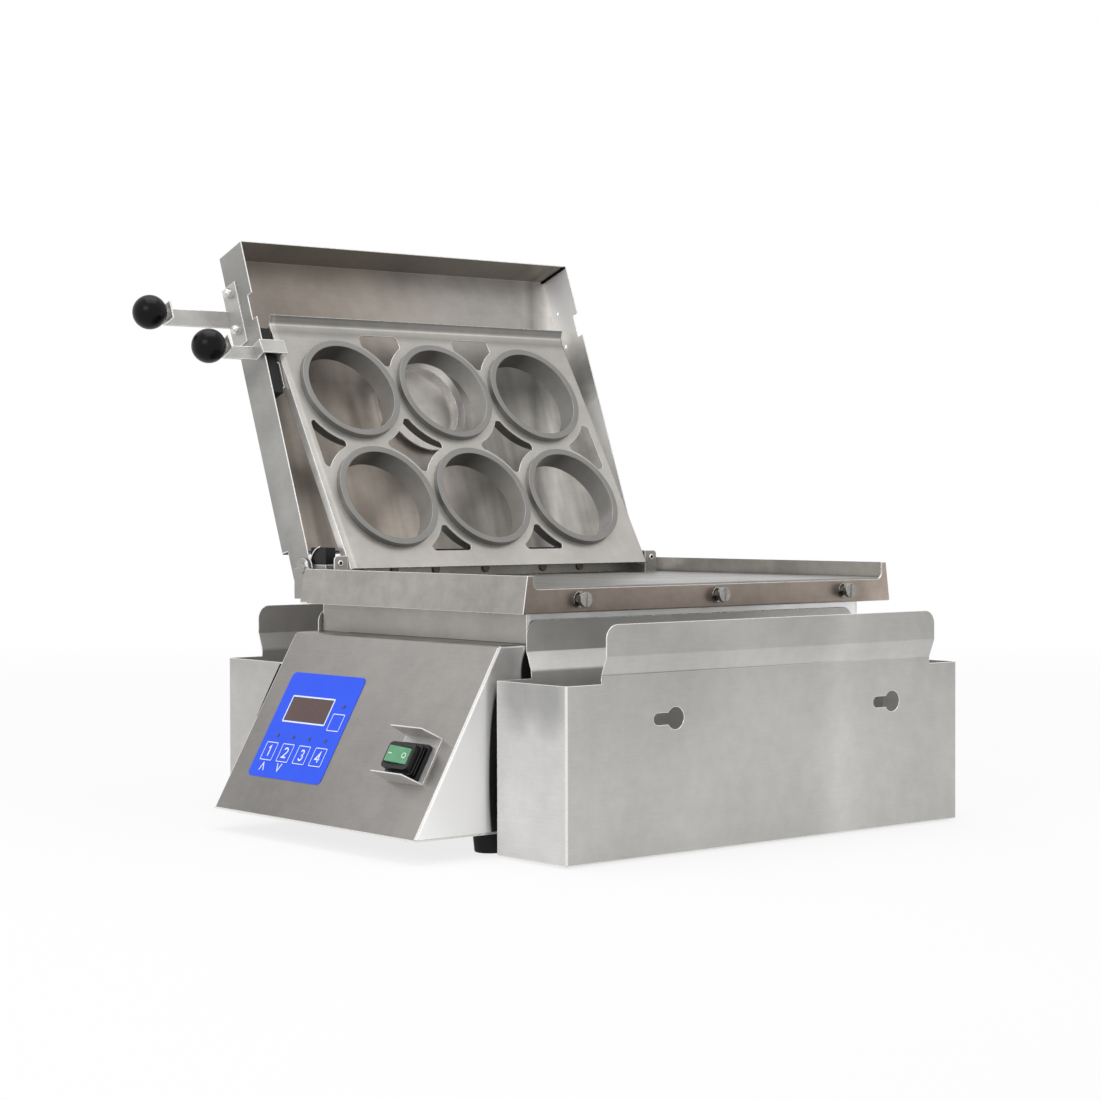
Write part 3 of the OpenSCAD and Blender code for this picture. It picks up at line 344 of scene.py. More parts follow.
def brushedSteel(name, look):
    # colour = tone by the way the face looks (painted light and shade), times (clouds + blotches + lines) and
    # every gain of the look: painted gradients, bands, patches and reflection streaks
    n = Finish(name)
    tone = screen(*look["base"])
    for direction, colour, low, high in look.get("facing", []):
        tone = n.mix(n.turnedTo(direction, low, high), tone, screen(*colour))
    if "warmth" in look:
        direction, start, end, tint = look["warmth"]
        near = n.span(n.along(back), 1.0, 0.0, start, end)
        share = n.math("MULTIPLY", near, n.turnedTo(direction, *brushing["warmFace"]))
        tone = n.mix(share, tone, tint, "MULTIPLY")
    slow, small = look["clouds"]
    half, fine = brushing["spread"], brushing["lineGain"]
    lines = n.noise(**brushing["lines"])
    level = n.spread(n.noise(**brushing["clouds"]), 1.0 - slow, 1.0 + slow, half["clouds"])
    level = n.math("ADD", level, n.spread(n.noise(**brushing["blotches"]), -small, small, half["blotches"]))
    level = n.math("ADD", level, n.spread(lines, -fine, fine, half["lines"]))
    gains = [n.span(n.along(direction), first, last, start, end)
             for direction, start, end, first, last in look.get("drift", [])]
    for direction, middle, reach, gain in look.get("bands", []):
        away = n.math("ABSOLUTE", n.math("SUBTRACT", n.along(direction), middle))
        gains.append(n.span(away, gain, 1.0, 0.0, reach))
    gains += [paintedSpot(n, *values) for values in look.get("spots", [])]
    # painted reflection streaks, fading in between two heights
    if "reflectionStreaks" in look:
        least, most, start, end = look["reflectionStreaks"]
        wave = n.spread(n.noise(**brushing["reflectionStreaks"]), least, most, half["reflectionStreaks"])
        gains.append(n.mixValue(n.span(n.along(top), 1.0, 0.0, start, end), 1.0, wave))
    for gain in gains:
        level = n.math("MULTIPLY", level, gain)
    grey = n.add("ShaderNodeCombineColor")
    for channel in grey.inputs:
        n.join(level, channel)
    n.set(colour=n.mix(1.0, tone, grey.outputs[0], "MULTIPLY", True), metal=look["metal"],
          rough=n.spread(n.noise(**brushing["sheen"]), *brushing["roughness"], half["sheen"]),
          specular=brushing["specular"])
    n.bump(lines, brushing["lineStrength"], brushing["lineDepth"])
    return n.material


def polished(name, low, high, rough, grain=900.0, slow=140.0, metal=1.0, strength=0.05, depth=0.00008):
    # turned or ground metal: a fine grain between two tones, a slow change of the roughness
    n = Finish(name)
    fine = n.noise(grain, 2.0)
    n.set(colour=n.mix(fine, screen(*low), screen(*high)), rough=n.spread(n.noise(slow), *rough),
          metal=metal)
    n.bump(fine, strength, depth)
    return n.material


def dullMetal(name, low, high, rough, slow=22.0, grain=1100.0, metal=0.9, strength=0.15, depth=0.00012):
    # cast or fired metal: clouds between two tones, fine pits in the roughness and the surface
    n = Finish(name)
    pits = n.noise(grain, 3.0, 0.7)
    n.set(colour=n.mix(n.noise(slow, 4.0, 0.6), screen(*low), screen(*high)), rough=n.spread(pits, *rough),
          metal=metal)
    n.bump(pits, strength, depth)
    return n.material


def moulded(name, low, high, rough, grain=900.0, slow=30.0, strength=0.12, depth=0.00012, coat=0.0,
            specular=0.5):
    # plastic, rubber, print or ceramic: soft clouds between two tones under a fine skin
    n = Finish(name)
    skin = n.noise(grain, 3.0, 0.6)
    n.set(colour=n.mix(n.noise(slow), screen(*low), screen(*high)), rough=n.spread(skin, *rough),
          metal=0.0, coat=coat, coatRough=0.05, specular=specular)
    n.bump(skin, strength, depth)
    return n.material


def litPlastic(name, low, high, rough, glow, grain=700.0, slow=90.0, strength=0.05, depth=0.00008, coat=0.5):
    # clear plastic with depth in its colour, a gloss coat and a faint glow
    n = Finish(name)
    cloud = n.noise(slow)
    n.set(colour=n.mix(cloud, screen(*low), screen(*high)), rough=n.spread(cloud, *rough),
          glowColour=screen(*high), glow=glow, coat=coat, coatRough=0.05)
    n.bump(n.noise(grain), strength, depth)
    return n.material


# Kind, material's name, two tones, least and most roughness, what differs from the plain kind
otherLooks = {
    # rim: painted highlight on cut edges, bright bends and the thin lines along the edges of faces
    "rim": (polished, "edgeHighlight", (222, 221, 218), (242, 241, 238), (0.22, 0.34),
            {"grain": 400.0, "metal": 0.75}),
    "bright": (polished, "brightSteel", (206, 204, 200), (236, 234, 230), (0.14, 0.26), {"metal": 0.8}),
    "stud": (polished, "studSteel", (112, 109, 104), (176, 174, 170), (0.12, 0.22), {"grain": 500.0}),
    "oxide": (polished, "railScrewSteel", (84, 80, 70), (120, 114, 102), (0.3, 0.4), {}),
    "ring": (dullMetal, "ringCasting", (128, 127, 125), (146, 145, 142), (0.36, 0.50), {}),
    "sheath": (dullMetal, "heaterSheath", (70, 64, 60), (92, 84, 78), (0.5, 0.65), {}),
    "rocker": (litPlastic, "rockerGreen", (60, 132, 88), (104, 168, 128), (0.16, 0.24), {"glow": 0.03}),
    "black": (moulded, "mouldedBlack", (16, 16, 17), (30, 30, 31), (0.42, 0.55), {"specular": 0.3}),
    "boot": (moulded, "bootRubber", (14, 14, 15), (26, 26, 27), (0.34, 0.46), {"specular": 0.4}),
    "rubber": (moulded, "footRubber", (16, 16, 17), (30, 30, 30), (0.55, 0.7), {"specular": 0.3}),
    # painted shade: black for the strip at the panel's edge, the cover's open corner and the rivets' bores
    "paintedShade": (moulded, "paintedShadeBlack", (8, 8, 8), (14, 14, 14), (0.7, 0.8), {"specular": 0.1}),
    "board": (moulded, "boardGreen", (36, 98, 62), (44, 112, 70), (0.35, 0.5), {"grain": 600.0}),
    "cream": (moulded, "ceramicCream", (210, 205, 190), (224, 219, 205), (0.7, 0.85),
              {"grain": 500.0, "depth": 0.0004}),
    "knob": (moulded, "knobBlack", (6, 6, 7), (14, 14, 15), (0.20, 0.30),
             {"grain": 300.0, "depth": 0.00004, "strength": 0.05, "specular": 0.16}),
    "overlay": (moulded, "overlayFilm", (34, 80, 234), (46, 92, 242), (0.34, 0.44),
                {"grain": 1500.0, "depth": 0.00004, "strength": 0.08, "specular": 0.2}),
    "print": (moulded, "overlayPrint", (226, 232, 244), (240, 244, 252), (0.4, 0.5),
              {"grain": 1500.0, "depth": 0.00003, "strength": 0.05, "specular": 0.2}),
    "window": (moulded, "smokedWindow", (66, 46, 42), (80, 56, 50), (0.10, 0.16),
               {"grain": 200.0, "depth": 0.00003, "strength": 0.04, "coat": 0.3, "specular": 0.3}),
    "digit": (moulded, "unlitSegment", (92, 60, 56), (100, 66, 60), (0.25, 0.35),
              {"grain": 300.0, "depth": 0.00003, "strength": 0.05, "specular": 0.3}),
    "lens": (moulded, "lampLens", (28, 40, 92), (40, 54, 120), (0.2, 0.3),
             {"grain": 500.0, "depth": 0.00003, "strength": 0.05, "coat": 0.3}),
    "mark": (moulded, "rockerMark", (190, 222, 200), (210, 236, 218), (0.35, 0.45),
             {"depth": 0.00003, "strength": 0.05}),
}


def makeMaterials():
    look = {key: brushedSteel(key + "Steel", values) for key, values in steelLooks.items()}
    for key, (make, name, low, high, rough, more) in otherLooks.items():
        look[key] = make(name, low, high, rough, **more)
    print("materials done")
    return look


# Shapes
def finished(name, mesh, body, materials, replace=()):
    # an object at the origin that rides its body, with its materials; the nodes that it stands for are hidden
    item = bpy.data.objects.new(name, mesh)
    bpy.context.scene.collection.objects.link(item)
    which = np.zeros(len(mesh.polygons), dtype=np.int32)
    mesh.polygons.foreach_get("material_index", which)
    mesh.materials.clear()
    for material in materials:
        mesh.materials.append(material)
    mesh.polygons.foreach_set("material_index", which)
    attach(item, body)
    if replace:
        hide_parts(*replace)
    return item


def newPiece(name, places, parts, body, material, replace=(), smooth=False):
    # every part, (points, faces) in millimetres, at every place
    points, faces, start = [], [], 0
    for place in places:
        for some, loops in parts:
            points.append(inside(place, some))
            faces += [[k + start for k in loop] for loop in loops]
            start += len(some)
    mesh = bpy.data.meshes.new(name)
    mesh.from_pydata((np.vstack(points) * mm).tolist(), [], faces)
    mesh.polygons.foreach_set("use_smooth", [smooth] * len(faces))
    mesh.validate()
    finished(name, mesh, body, [material], replace)


def gridFaces(rows, columns, closeRows=False):
    # quads between neighbouring rows of points, each row a closed loop; the last row may join the first
    r = np.arange(rows if closeRows else rows - 1)[:, None]
    c = np.arange(columns)[None, :]
    r2, c2 = (r + 1) % rows, (c + 1) % columns
    quads = np.stack([r * columns + c, r * columns + c2, r2 * columns + c2, r2 * columns + c], -1)
    return quads.reshape(-1, 4).tolist()


def capped(rows, columns):
    # the grid's quads with the first and the last row filled
    last = (rows - 1) * columns
    return gridFaces(rows, columns) + [list(range(columns))[::-1], list(range(last, last + columns))]


def stroke(path, width, low, high, closed=False):
    # point = path +- half the width along the mitred normal, at heights low and high
    path = np.asarray(path, float)
    if closed:
        before, after = np.roll(path, 1, 0), np.roll(path, -1, 0)
    else:
        before = np.vstack([2 * path[0] - path[1], path[:-1]])
        after = np.vstack([path[1:], 2 * path[-1] - path[-2]])
    a, b = path - before, after - path
    a /= np.linalg.norm(a, axis=1, keepdims=True)
    b /= np.linalg.norm(b, axis=1, keepdims=True)
    na, nb = np.stack([-a[:, 1], a[:, 0]], 1), np.stack([-b[:, 1], b[:, 0]], 1)
    side = (na + nb) / (1 + (na * nb).sum(1, keepdims=True)) * width / 2
    level = np.ones((len(path), 1))
    points = np.stack([np.hstack([path + sign * side, level * height])
                       for sign, height in ((-1, low), (-1, high), (1, high), (1, low))], 1)
    return points.reshape(-1, 3), gridFaces(len(path), 4, True) if closed else capped(len(path), 4)


def arc(centre, radius, first, last, count):
    # centre + radius * (cos, sin) for evenly spaced angles from first to last
    turn = np.radians(np.linspace(first, last, count))
    return np.stack([centre[0] + radius * np.cos(turn), centre[1] + radius * np.sin(turn)], 1)


def rounded(x0, y0, x1, y1, radius, count=5):
    # rectangle with a quarter arc at each corner, as a closed path
    centres = [(x1 - radius, y1 - radius), (x0 + radius, y1 - radius),
               (x0 + radius, y0 + radius), (x1 - radius, y0 + radius)]
    return np.vstack([arc(centre, radius, 90 * k, 90 * k + 90, count) for k, centre in enumerate(centres)])


def turned(profile, sides, flats=0.0, phase=0.0):
    # (r cos t, r sin t, h) for each (r, h) of the profile; flats holds r within a hexagon of that half width
    profile = np.asarray(profile, float)
    turn = np.linspace(0, 2 * math.pi, sides, endpoint=False)[None, :] + phase
    radius = profile[:, :1] * np.ones_like(turn)
    if flats:
        sixth = math.pi / 3
        radius = np.minimum(radius, flats / np.cos((turn + sixth / 2) % sixth - sixth / 2))
    points = np.stack([radius * np.cos(turn), radius * np.sin(turn), profile[:, 1:] * np.ones_like(turn)], -1)
    return points.reshape(-1, 3), capped(len(profile), sides)


def swept(path, normal, radius, sides=12):
    # path + radius * (cos t * side + sin t * normal), side being square to the path and to its plane's normal
    path = np.asarray(path, float)
    along = np.gradient(path, axis=0)
    along /= np.linalg.norm(along, axis=1, keepdims=True)
    upright = np.asarray(normal, float) / np.linalg.norm(normal)
    side = np.cross(along, upright)
    turn = np.linspace(0, 2 * math.pi, sides, endpoint=False)[None, :, None]
    points = path[:, None, :] + radius * (np.cos(turn) * side[:, None, :] + np.sin(turn) * upright)
    return points.reshape(-1, 3), capped(len(path), sides)


# How a CAD solid is read and softened. Widths are shares of the sheet's thickness, angles in degrees.
softening = {
    "cutWidth": 1.4, "wallWidth": 2.2,  # a cut face is narrower than the one, a wall wider than the other
    "sharp": 0.5, "sharpShare": 0.05,  # radians; least share of a cut face's outline that is sharp
    "merge": 0.002, "flat": 0.6,  # points closer than the one are joined, as are faces flatter than the other
    "foldAngle": 12, "rimAngle": 30, "shadeAngle": 50, "foldSteps": 3, "rimSteps": 2,
    "leastInner": 0.35,  # least radius inside a fold
    # bends whose normal leans this way take the painted highlight
    "leaning": (0.25, 0.95, 0.6),  # a bright bend's normal: least and most of it across, most of it upright
    "overshoot": 0.45,  # how far a point may stand off the CAD face
}
# The cover's back corner is left open: its edges there are cut edges, not bends
openCorner = {"node": "cover_shell", "place": inCover, "corner": (355.8, 216.9), "reach": 4.0,
              "belowSlot": 2.0, "wallWidth": 20.0, "facing": 0.99}


def outline(face):
    return sum(edge.calc_length() for edge in face.edges)


def faceWidth(face):
    # twice the area over the length of the outline, in millimetres: a long strip's width
    return 2 * face.calc_area() / max(outline(face), 1e-12) / mm


def isWall(face, thick):
    return faceWidth(face) > softening["wallWidth"] * thick


def isCut(face, thick):
    # a face as narrow as the sheet is thick, unless it lies flat between its neighbours
    sharp = sum(edge.calc_length() for edge in face.edges
                if len(edge.link_faces) == 2 and edge.calc_face_angle(0) > softening["sharp"])
    return faceWidth(face) < softening["cutWidth"] * thick and sharp > softening["sharpShare"] * outline(face)


def splitAtCorner(bm):
    # the outer face of the end wall runs on round the slot: a cut across it leaves a plain rectangle
    place, (x, y) = openCorner["place"], openCorner["corner"]
    cut = inside(place, (x, y - openCorner["belowSlot"], 0)) * mm
    outer = [face for face in bm.faces if face.normal.dot(Vector(place[1])) > openCorner["facing"]
             and faceWidth(face) > openCorner["wallWidth"]]
    for face in outer:
        bmesh.ops.bisect_plane(bm, geom=[face, *face.edges, *face.verts], plane_co=cut, plane_no=place[2])


def atOpenCorner(node, edge):
    # both ends of the edge lie within reach of the corner, seen along the cover's third direction
    if node != openCorner["node"]:
        return False
    place = openCorner["place"]
    ends = (np.array([tuple(end.co) for end in edge.verts]) / mm - place[0]) @ place[1:].T
    return bool((np.linalg.norm(ends[:, :2] - openCorner["corner"], axis=1) < openCorner["reach"]).all())


def bevelled(bm, edges, width, steps):
    if not edges or width <= 0:
        return []
    return bmesh.ops.bevel(bm, geom=edges, offset=width * mm, offset_type="OFFSET", segments=steps,
                           profile=0.5, affect="EDGES", clamp_overlap=False, miter_outer="SHARP")["faces"]


def bent(bm, least):
    # edges between two faces that turn by more than the least angle
    limit = math.radians(least)
    return [edge for edge in bm.edges if len(edge.link_faces) == 2 and edge.calc_face_angle(0) > limit]


def pulledBack(bm, mesh):
    # corners where three bends meet can overshoot: what stands out of the CAD face goes back onto it
    corners = [point.co for point in mesh.vertices]
    solid = BVHTree.FromPolygons(corners, [face.vertices for face in mesh.polygons])
    for point in bm.verts:
        nearest, normal, _, away = solid.find_nearest(point.co)
        if away > softening["overshoot"] * mm and (point.co - nearest).dot(normal) > 0:
            point.co = nearest


def softened(node, materials, fold=0.0, rim=0.25, thick=2.0, brightFold=False, line=0.0):
    # the CAD solid again: folds rounded to the bend radius, cut edges broken; cut faces, broken edges and
    # bright bends take the second material, a painted highlight, as does a line along the edges of the rest
    solid = nodes[node].data
    mesh = solid.copy()
    bm = bmesh.new()
    bm.from_mesh(mesh)
    bmesh.ops.remove_doubles(bm, verts=bm.verts, dist=softening["merge"] * mm)
    bmesh.ops.dissolve_limit(bm, angle_limit=math.radians(softening["flat"]), verts=bm.verts, edges=bm.edges)
    bmesh.ops.recalc_face_normals(bm, faces=bm.faces)
    if node == openCorner["node"]:
        splitAtCorner(bm)
    many = len(materials) > 1
    for face in bm.faces:
        face.material_index = 1 if many and isCut(face, thick) else 0

    def folds(convex):
        return [edge for edge in bent(bm, softening["foldAngle"]) if edge.is_convex == convex
                and not atOpenCorner(node, edge) and all(isWall(face, thick) for face in edge.link_faces)]

    least, most, upright = softening["leaning"]
    if fold > 0:
        strips = set(bevelled(bm, folds(True), fold, softening["foldSteps"]))
        for face in strips:
            beside = [other for edge in face.edges for other in edge.link_faces if other is not face]
            outside = any(other not in strips and isWall(other, thick) for other in beside)
            leaning = least < abs(face.normal.x) < most and abs(face.normal.z) < upright
            face.material_index = 1 if brightFold and many and outside and leaning else 0
        bevelled(bm, folds(False), max(softening["leastInner"], fold - thick), softening["foldSteps"])
    if rim > 0:
        edges = [edge for edge in bent(bm, softening["rimAngle"]) if edge.is_convex]
        for face in bevelled(bm, edges, rim, softening["rimSteps"]):
            face.material_index = 1 if many else 0
    pulledBack(bm, solid)
    if line > 0:
        wide = [face for face in bm.faces if face.material_index == 0]
        inset = bmesh.ops.inset_region(bm, faces=wide, thickness=line * mm, use_even_offset=True,
                                       use_boundary=True)
        for face in inset["faces"]:
            face.material_index = 1
        pulledBack(bm, solid)
    for face in bm.faces:
        face.smooth = True
    bm.to_mesh(mesh)
    bm.free()
    mesh.set_sharp_from_angle(angle=math.radians(softening["shadeAngle"]))
    item = finished(node + "_look", mesh, bodyOf[node], materials, (node,))
    weighted = item.modifiers.new("weighted", "WEIGHTED_NORMAL")
    weighted.keep_sharp = True
    return item


# Sheet pieces: bend radius (fold), cut edge radius (rim), sheet thickness, whether the bends get a painted
# highlight, and the width of the painted highlight line along the edges
sheetPieces = {
    "housing_shell": {"steel": "housing", "fold": 2.6, "rim": 0.3, "thick": 1.5, "brightFold": True},
    "rear_cover": {"steel": "housing", "rim": 0.25, "thick": 1.5},
    "base_plate": {"steel": "housing", "rim": 0.25, "thick": 1.7},
    "griddle_frame": {"steel": "band", "fold": 1.2, "rim": 0.35, "thick": 2.5},
    "hinge_rail": {"steel": "rail", "rim": 0.4, "thick": 2.5},
    "cover_ear_front": {"steel": "bracket", "rim": 0.3, "thick": 2.0},
    "cover_ear_back": {"steel": "bracket", "rim": 0.3, "thick": 2.0},
    "ring_bracket_front": {"steel": "bracket", "rim": 0.3, "thick": 1.5, "line": 0.3},
    "ring_bracket_back": {"steel": "bracket", "rim": 0.3, "thick": 1.5, "line": 0.3},
    "cover_shell": {"steel": "cover", "fold": 1.6, "rim": 0.3, "thick": 1.2, "line": 0.35},
    "cover_dish": {"steel": "dish", "rim": 0.35, "thick": 1.2},
    "cover_handle": {"steel": "strap", "rim": 0.35, "thick": 2.0, "line": 0.4},
    "ring_plate": {"steel": "ringPlate", "fold": 3.2, "rim": 0.3, "thick": 1.5},
    "ring_handle": {"steel": "strap", "rim": 0.35, "thick": 1.6, "line": 0.4},
    "pan_right": {"steel": "pan", "fold": 2.0, "rim": 0.3, "thick": 1.2, "brightFold": True, "line": 0.2},
    "pan_left": {"steel": "panShade", "fold": 2.0, "rim": 0.3, "thick": 1.2, "brightFold": True, "line": 0.2},
    "switch_guard": {"steel": "guard", "rim": 0.25, "thick": 1.2, "line": 0.5},
}
# Solid pieces: material, edge radius, nodes
solidPieces = [
    ("griddle", 0.8, ["griddle_plate"]),
    ("oxide", 0.6, ["rail_screws"]),
    ("bright", 0.5, ["base_screws"]),
    ("stud", 0.5, ["frame_stud_front", "frame_stud_middle", "frame_stud_back"]),
    ("bracket", 0.5, ["cover_pin_front", "cover_pin_back"]),
    ("bright", 0.4, ["ring_pin_front", "ring_pin_back"]),
    ("bright", 0.5, ["pan_studs"]),
    ("black", 0.8, ["spring_box"]),
    ("black", 1.0, ["catch_block"]),
    ("black", 0.8, ["power_inlet"]),
    ("boot", 0.5, ["switch_boot"]),
    ("rocker", 0.6, ["switch_rocker"]),
    ("window", 0.1, ["display_window"]),
    ("rubber", 1.2, ["foot_front_left", "foot_front_right", "foot_back_left", "foot_back_right"]),
    ("ring", 0.6, ["egg_ring_%d" % ring for ring in range(1, 7)]),
]
# Nodes that keep their CAD shape
keptNodes = {
    "griddle_spacers": "bright", "heater": "sheath", "temperature_probe": "bright",
    "limit_thermostat": "black", "insulation": "cream", "control_board": "board", "transformer": "sheath",
    "power_relay": "black", "terminal_block": "cream", "overlay": "overlay", "panel_leds": "lens",
}
boreFace = {"reach": 52.6, "lean": 0.4}  # farthest from the ring's axis, most of the normal along it


def ofFaces(mesh, key):
    # the centre or the normal of every face, one row each
    values = np.zeros(len(mesh.polygons) * 3)
    mesh.polygons.foreach_get(key, values)
    return values.reshape(-1, 3)


def boredRing(item, material):
    # faces of the bore, which take the painted shade: nearer to the ring's axis than its wall, and turned
    # across
    #     that axis
    mesh = item.data
    mesh.materials.append(material)
    centres, normals = ofFaces(mesh, "center"), ofFaces(mesh, "normal")
    axis = np.array(plateFace)
    out = centres - (centres.min(0) + centres.max(0)) / 2
    out -= np.outer(out @ axis, axis)
    near = np.linalg.norm(out, axis=1) < boreFace["reach"] * mm
    across = np.abs(normals @ axis) < boreFace["lean"]
    mesh.polygons.foreach_set("material_index", (near & across).astype(np.int32))


def dressNodes(look):
    for node, values in sheetPieces.items():
        shape = {key: value for key, value in values.items() if key != "steel"}
        softened(node, [look[values["steel"]], look["rim"]], **shape)
    print("sheet pieces done")
    for material, rim, names in solidPieces:
        for node in names:
            item = softened(node, [look[material]], rim=rim)
            if material == "ring":
                boredRing(item, look["ringBoreShade"])
    for node, material in keptNodes.items():
        mesh = nodes[node].data
        mesh.materials.clear()
        mesh.materials.append(look[material])
    print("solid pieces done")


# Print on the overlay, on the panel
overlayArt = {
    "keys": (-122.2, 54.0, 19.2, 27.3),  # left, bottom, side, pitch
    "enter": (-37.0, 91.0, 19.2, 18.0),  # left, bottom, width, height
    "window": (-114.2, 96.0, -44.6, 123.0),  # left, bottom, right, top
    "arrows": (((-112.8, 47.4), 1), ((-86.2, 48.6), -1)),  # middle, up or down
    "arrow": (3.6, 3.9, 1.25),  # half width, half height, line
    "line": 0.8, "frameLine": 1.5, "digitLine": 1.6, "digitHeight": 10.6, "corner": 0.8,
    "film": 0.4, "key": 0.7, "print": 0.06,  # heights of the film and of the keys, thickness of the print
}


def digitPaths(digit):
    # centre lines of a plain upright digit from 1 to 4, ten high
    if digit == 1:
        return [[(-2.0, 3.0), (0.3, 4.9), (0.3, -5.0)]]
    if digit == 2:
        return [np.vstack([arc((0, 2.2), 2.7, 165, -30, 12), [(-2.7, -4.3), (3.1, -4.3)]])]
    if digit == 3:
        return [np.vstack([arc((0, 2.4), 2.4, 160, -75, 10), arc((0, -2.3), 2.7, 75, -160, 12)])]
    return [[(1.3, -5.0), (1.3, 4.4), (-3.1, -2.0), (3.3, -2.0)]]


def overlayPrint(look):
    # strokes along the keys' outlines, the digits, the window's frame and the two arrows
    art = overlayArt
    film = (art["film"], art["film"] + art["print"])
    key = (art["key"], art["key"] + art["print"])
    inset = art["line"] / 2

    def keyFrame(x, y, width, height):
        path = rounded(x + inset, y + inset, x + width - inset, y + height - inset, art["corner"])
        return stroke(path, art["line"], *key, closed=True)

    x0, y0, side, pitch = art["keys"]
    parts = []
    for k in range(4):
        parts.append(keyFrame(x0 + k * pitch, y0, side, side))
        middle = (x0 + k * pitch + side / 2, y0 + side / 2)
        parts += [stroke(np.asarray(path, float) * art["digitHeight"] / 10 + middle, art["digitLine"], *key)
                  for path in digitPaths(k + 1)]
    parts.append(keyFrame(*art["enter"]))
    parts.append(stroke(rounded(*art["window"], art["corner"]), art["frameLine"], *film, closed=True))
    wide, high, line = art["arrow"]
    for middle, way in art["arrows"]:
        path = np.array([(-wide, -high * way), (0, high * way), (wide, -high * way)]) + middle
        parts.append(stroke(path, line, *film))
    newPiece("overlay_print", [onPanel], parts, "base", look["print"])


# Unlit figure segments behind the window, on the panel
figures = {
    "count": 4, "start": -103.5, "pitch": 13.2, "rows": (102.5, 109.5, 116.5), "lean": 0.12, "gap": 0.8,
    "bar": (1.2, 7.0), "posts": (0.4, 7.8), "line": 1.2, "heights": (0.4, 0.44),
}


def windowDigits(look):
    # three bars and four posts a figure, x moved by lean times the height over the middle row
    low, middle, high = figures["rows"]
    gap = figures["gap"]
    parts = []
    for k in range(figures["count"]):
        start = figures["start"] + k * figures["pitch"]
        segments = [[(x, y) for x in figures["bar"]] for y in figures["rows"]]
        segments += [[(x, y0 + gap), (x, y1 - gap)] for y0, y1 in ((low, middle), (middle, high))
                     for x in figures["posts"]]
        for segment in segments:
            path = [(start + x + (y - middle) * figures["lean"], y) for x, y in segment]
            parts.append(stroke(path, figures["line"], *figures["heights"]))
    newPiece("window_digits", [onPanel], parts, "base", look["digit"])


# I and O on the rocker
rockerPrint = {"top": 7.6, "thick": 0.12, "bar": (-11.2, -7.0), "barLine": 1.1,
               "middle": 8.4, "radius": 2.3, "ringLine": 1.0, "steps": 24}


def rockerMarks(look):
    # a straight stroke and a closed round one
    art = rockerPrint
    heights = (art["top"], art["top"] + art["thick"])
    bar = stroke([(x, 0) for x in art["bar"]], art["barLine"], *heights)
    steps = art["steps"]
    circle = arc((art["middle"], 0), art["radius"], 0, 360 - 360 / steps, steps)
    ring = stroke(circle, art["ringLine"], *heights, closed=True)
    newPiece("rocker_marks", [onRocker], [bar, ring], "rocker", look["mark"])


# Domed nuts on the cover's handle, in the cover
nuts = {
    "along": (269.0, 310.0), "across": -224.9, "up": 22.05, "turn": 0.2, "sides": 48,
    "flats": 4.9, "hexagon": [(5.2, 0.0), (5.65, 0.4), (5.65, 3.6), (5.2, 4.2)],  # half width; radius, height
    "dome": {"radius": 4.9, "foot": 4.9, "rise": 4.8, "from": 8, "to": 86, "steps": 9},
}


def domedNuts(look):
    # hexagon with broken corners, then (radius cos t, foot + rise sin t)
    dome = nuts["dome"]
    turn = np.radians(np.linspace(dome["from"], dome["to"], dome["steps"]))
    crown = np.stack([dome["radius"] * np.cos(turn), dome["foot"] + dome["rise"] * np.sin(turn)], 1)
    nut = turned(np.vstack([nuts["hexagon"], crown]), nuts["sides"], nuts["flats"], nuts["turn"])
    places = [basis(inside(inCover, (x, nuts["across"], nuts["up"])), inCover[1], inCover[3])
              for x in nuts["along"]]
    newPiece("domed_nuts", places, [nut], "cover", look["bright"], ("cover_nuts",), True)


# Ball knobs: reach of the black ball, its centre in the cover or in the ring frame
ballKnob = {"reach": 17.52, "centres": {"cover_knob": (inCover, (286.5, -324.0, 28.05)),
                                        "ring_knob": (inRing, (244.5, -287.0, -10.6))}}


def ballKnobs(look):
    # faces farther from the centre than the ball's reach belong to the bright neck
    for node, (place, centre) in ballKnob["centres"].items():
        mesh = nodes[node].data.copy()
        away = np.linalg.norm(ofFaces(mesh, "center") - inside(place, centre) * mm, axis=1)
        mesh.polygons.foreach_set("material_index", (away > ballKnob["reach"] * mm).astype(np.int32))
        finished(node + "_look", mesh, bodyOf[node], [look["knob"], look["bright"]], (node,))


# Screws that hold the ball knobs, on the far side of the handles' ends
knobScrew = {
    "head": [(5.6, 0.0), (5.6, 1.6), (5.0, 2.6), (3.6, 3.3), (2.0, 3.6)], "sides": 32,  # radius, height
    "seats": {"cover_knob_screw": ("cover", inCover, (286.5, -303.0, 28.05)),
              "ring_knob_screw": ("ring_frame", inRing, (244.5, -266.4, -10.6))},
}


def knobScrews(look):
    # the head's profile turned about the handle's second direction
    head = turned(knobScrew["head"], knobScrew["sides"])
    for name, (body, place, seat) in knobScrew["seats"].items():
        local = basis(inside(place, seat), place[3], place[1])
        newPiece(name, [local], [head], body, look["bright"], smooth=True)


# Painted shadow: a black strip that shows between the panel's left edge and the pan, on the panel
edgeShadow = {"edge": -162.0, "start": 98.0, "length": 58.0, "inner": 0.2, "outer": 0.3, "swell": 2.2,
        "swellTurn": 0.55, "heights": (-3.0, -0.9), "steps": 12}


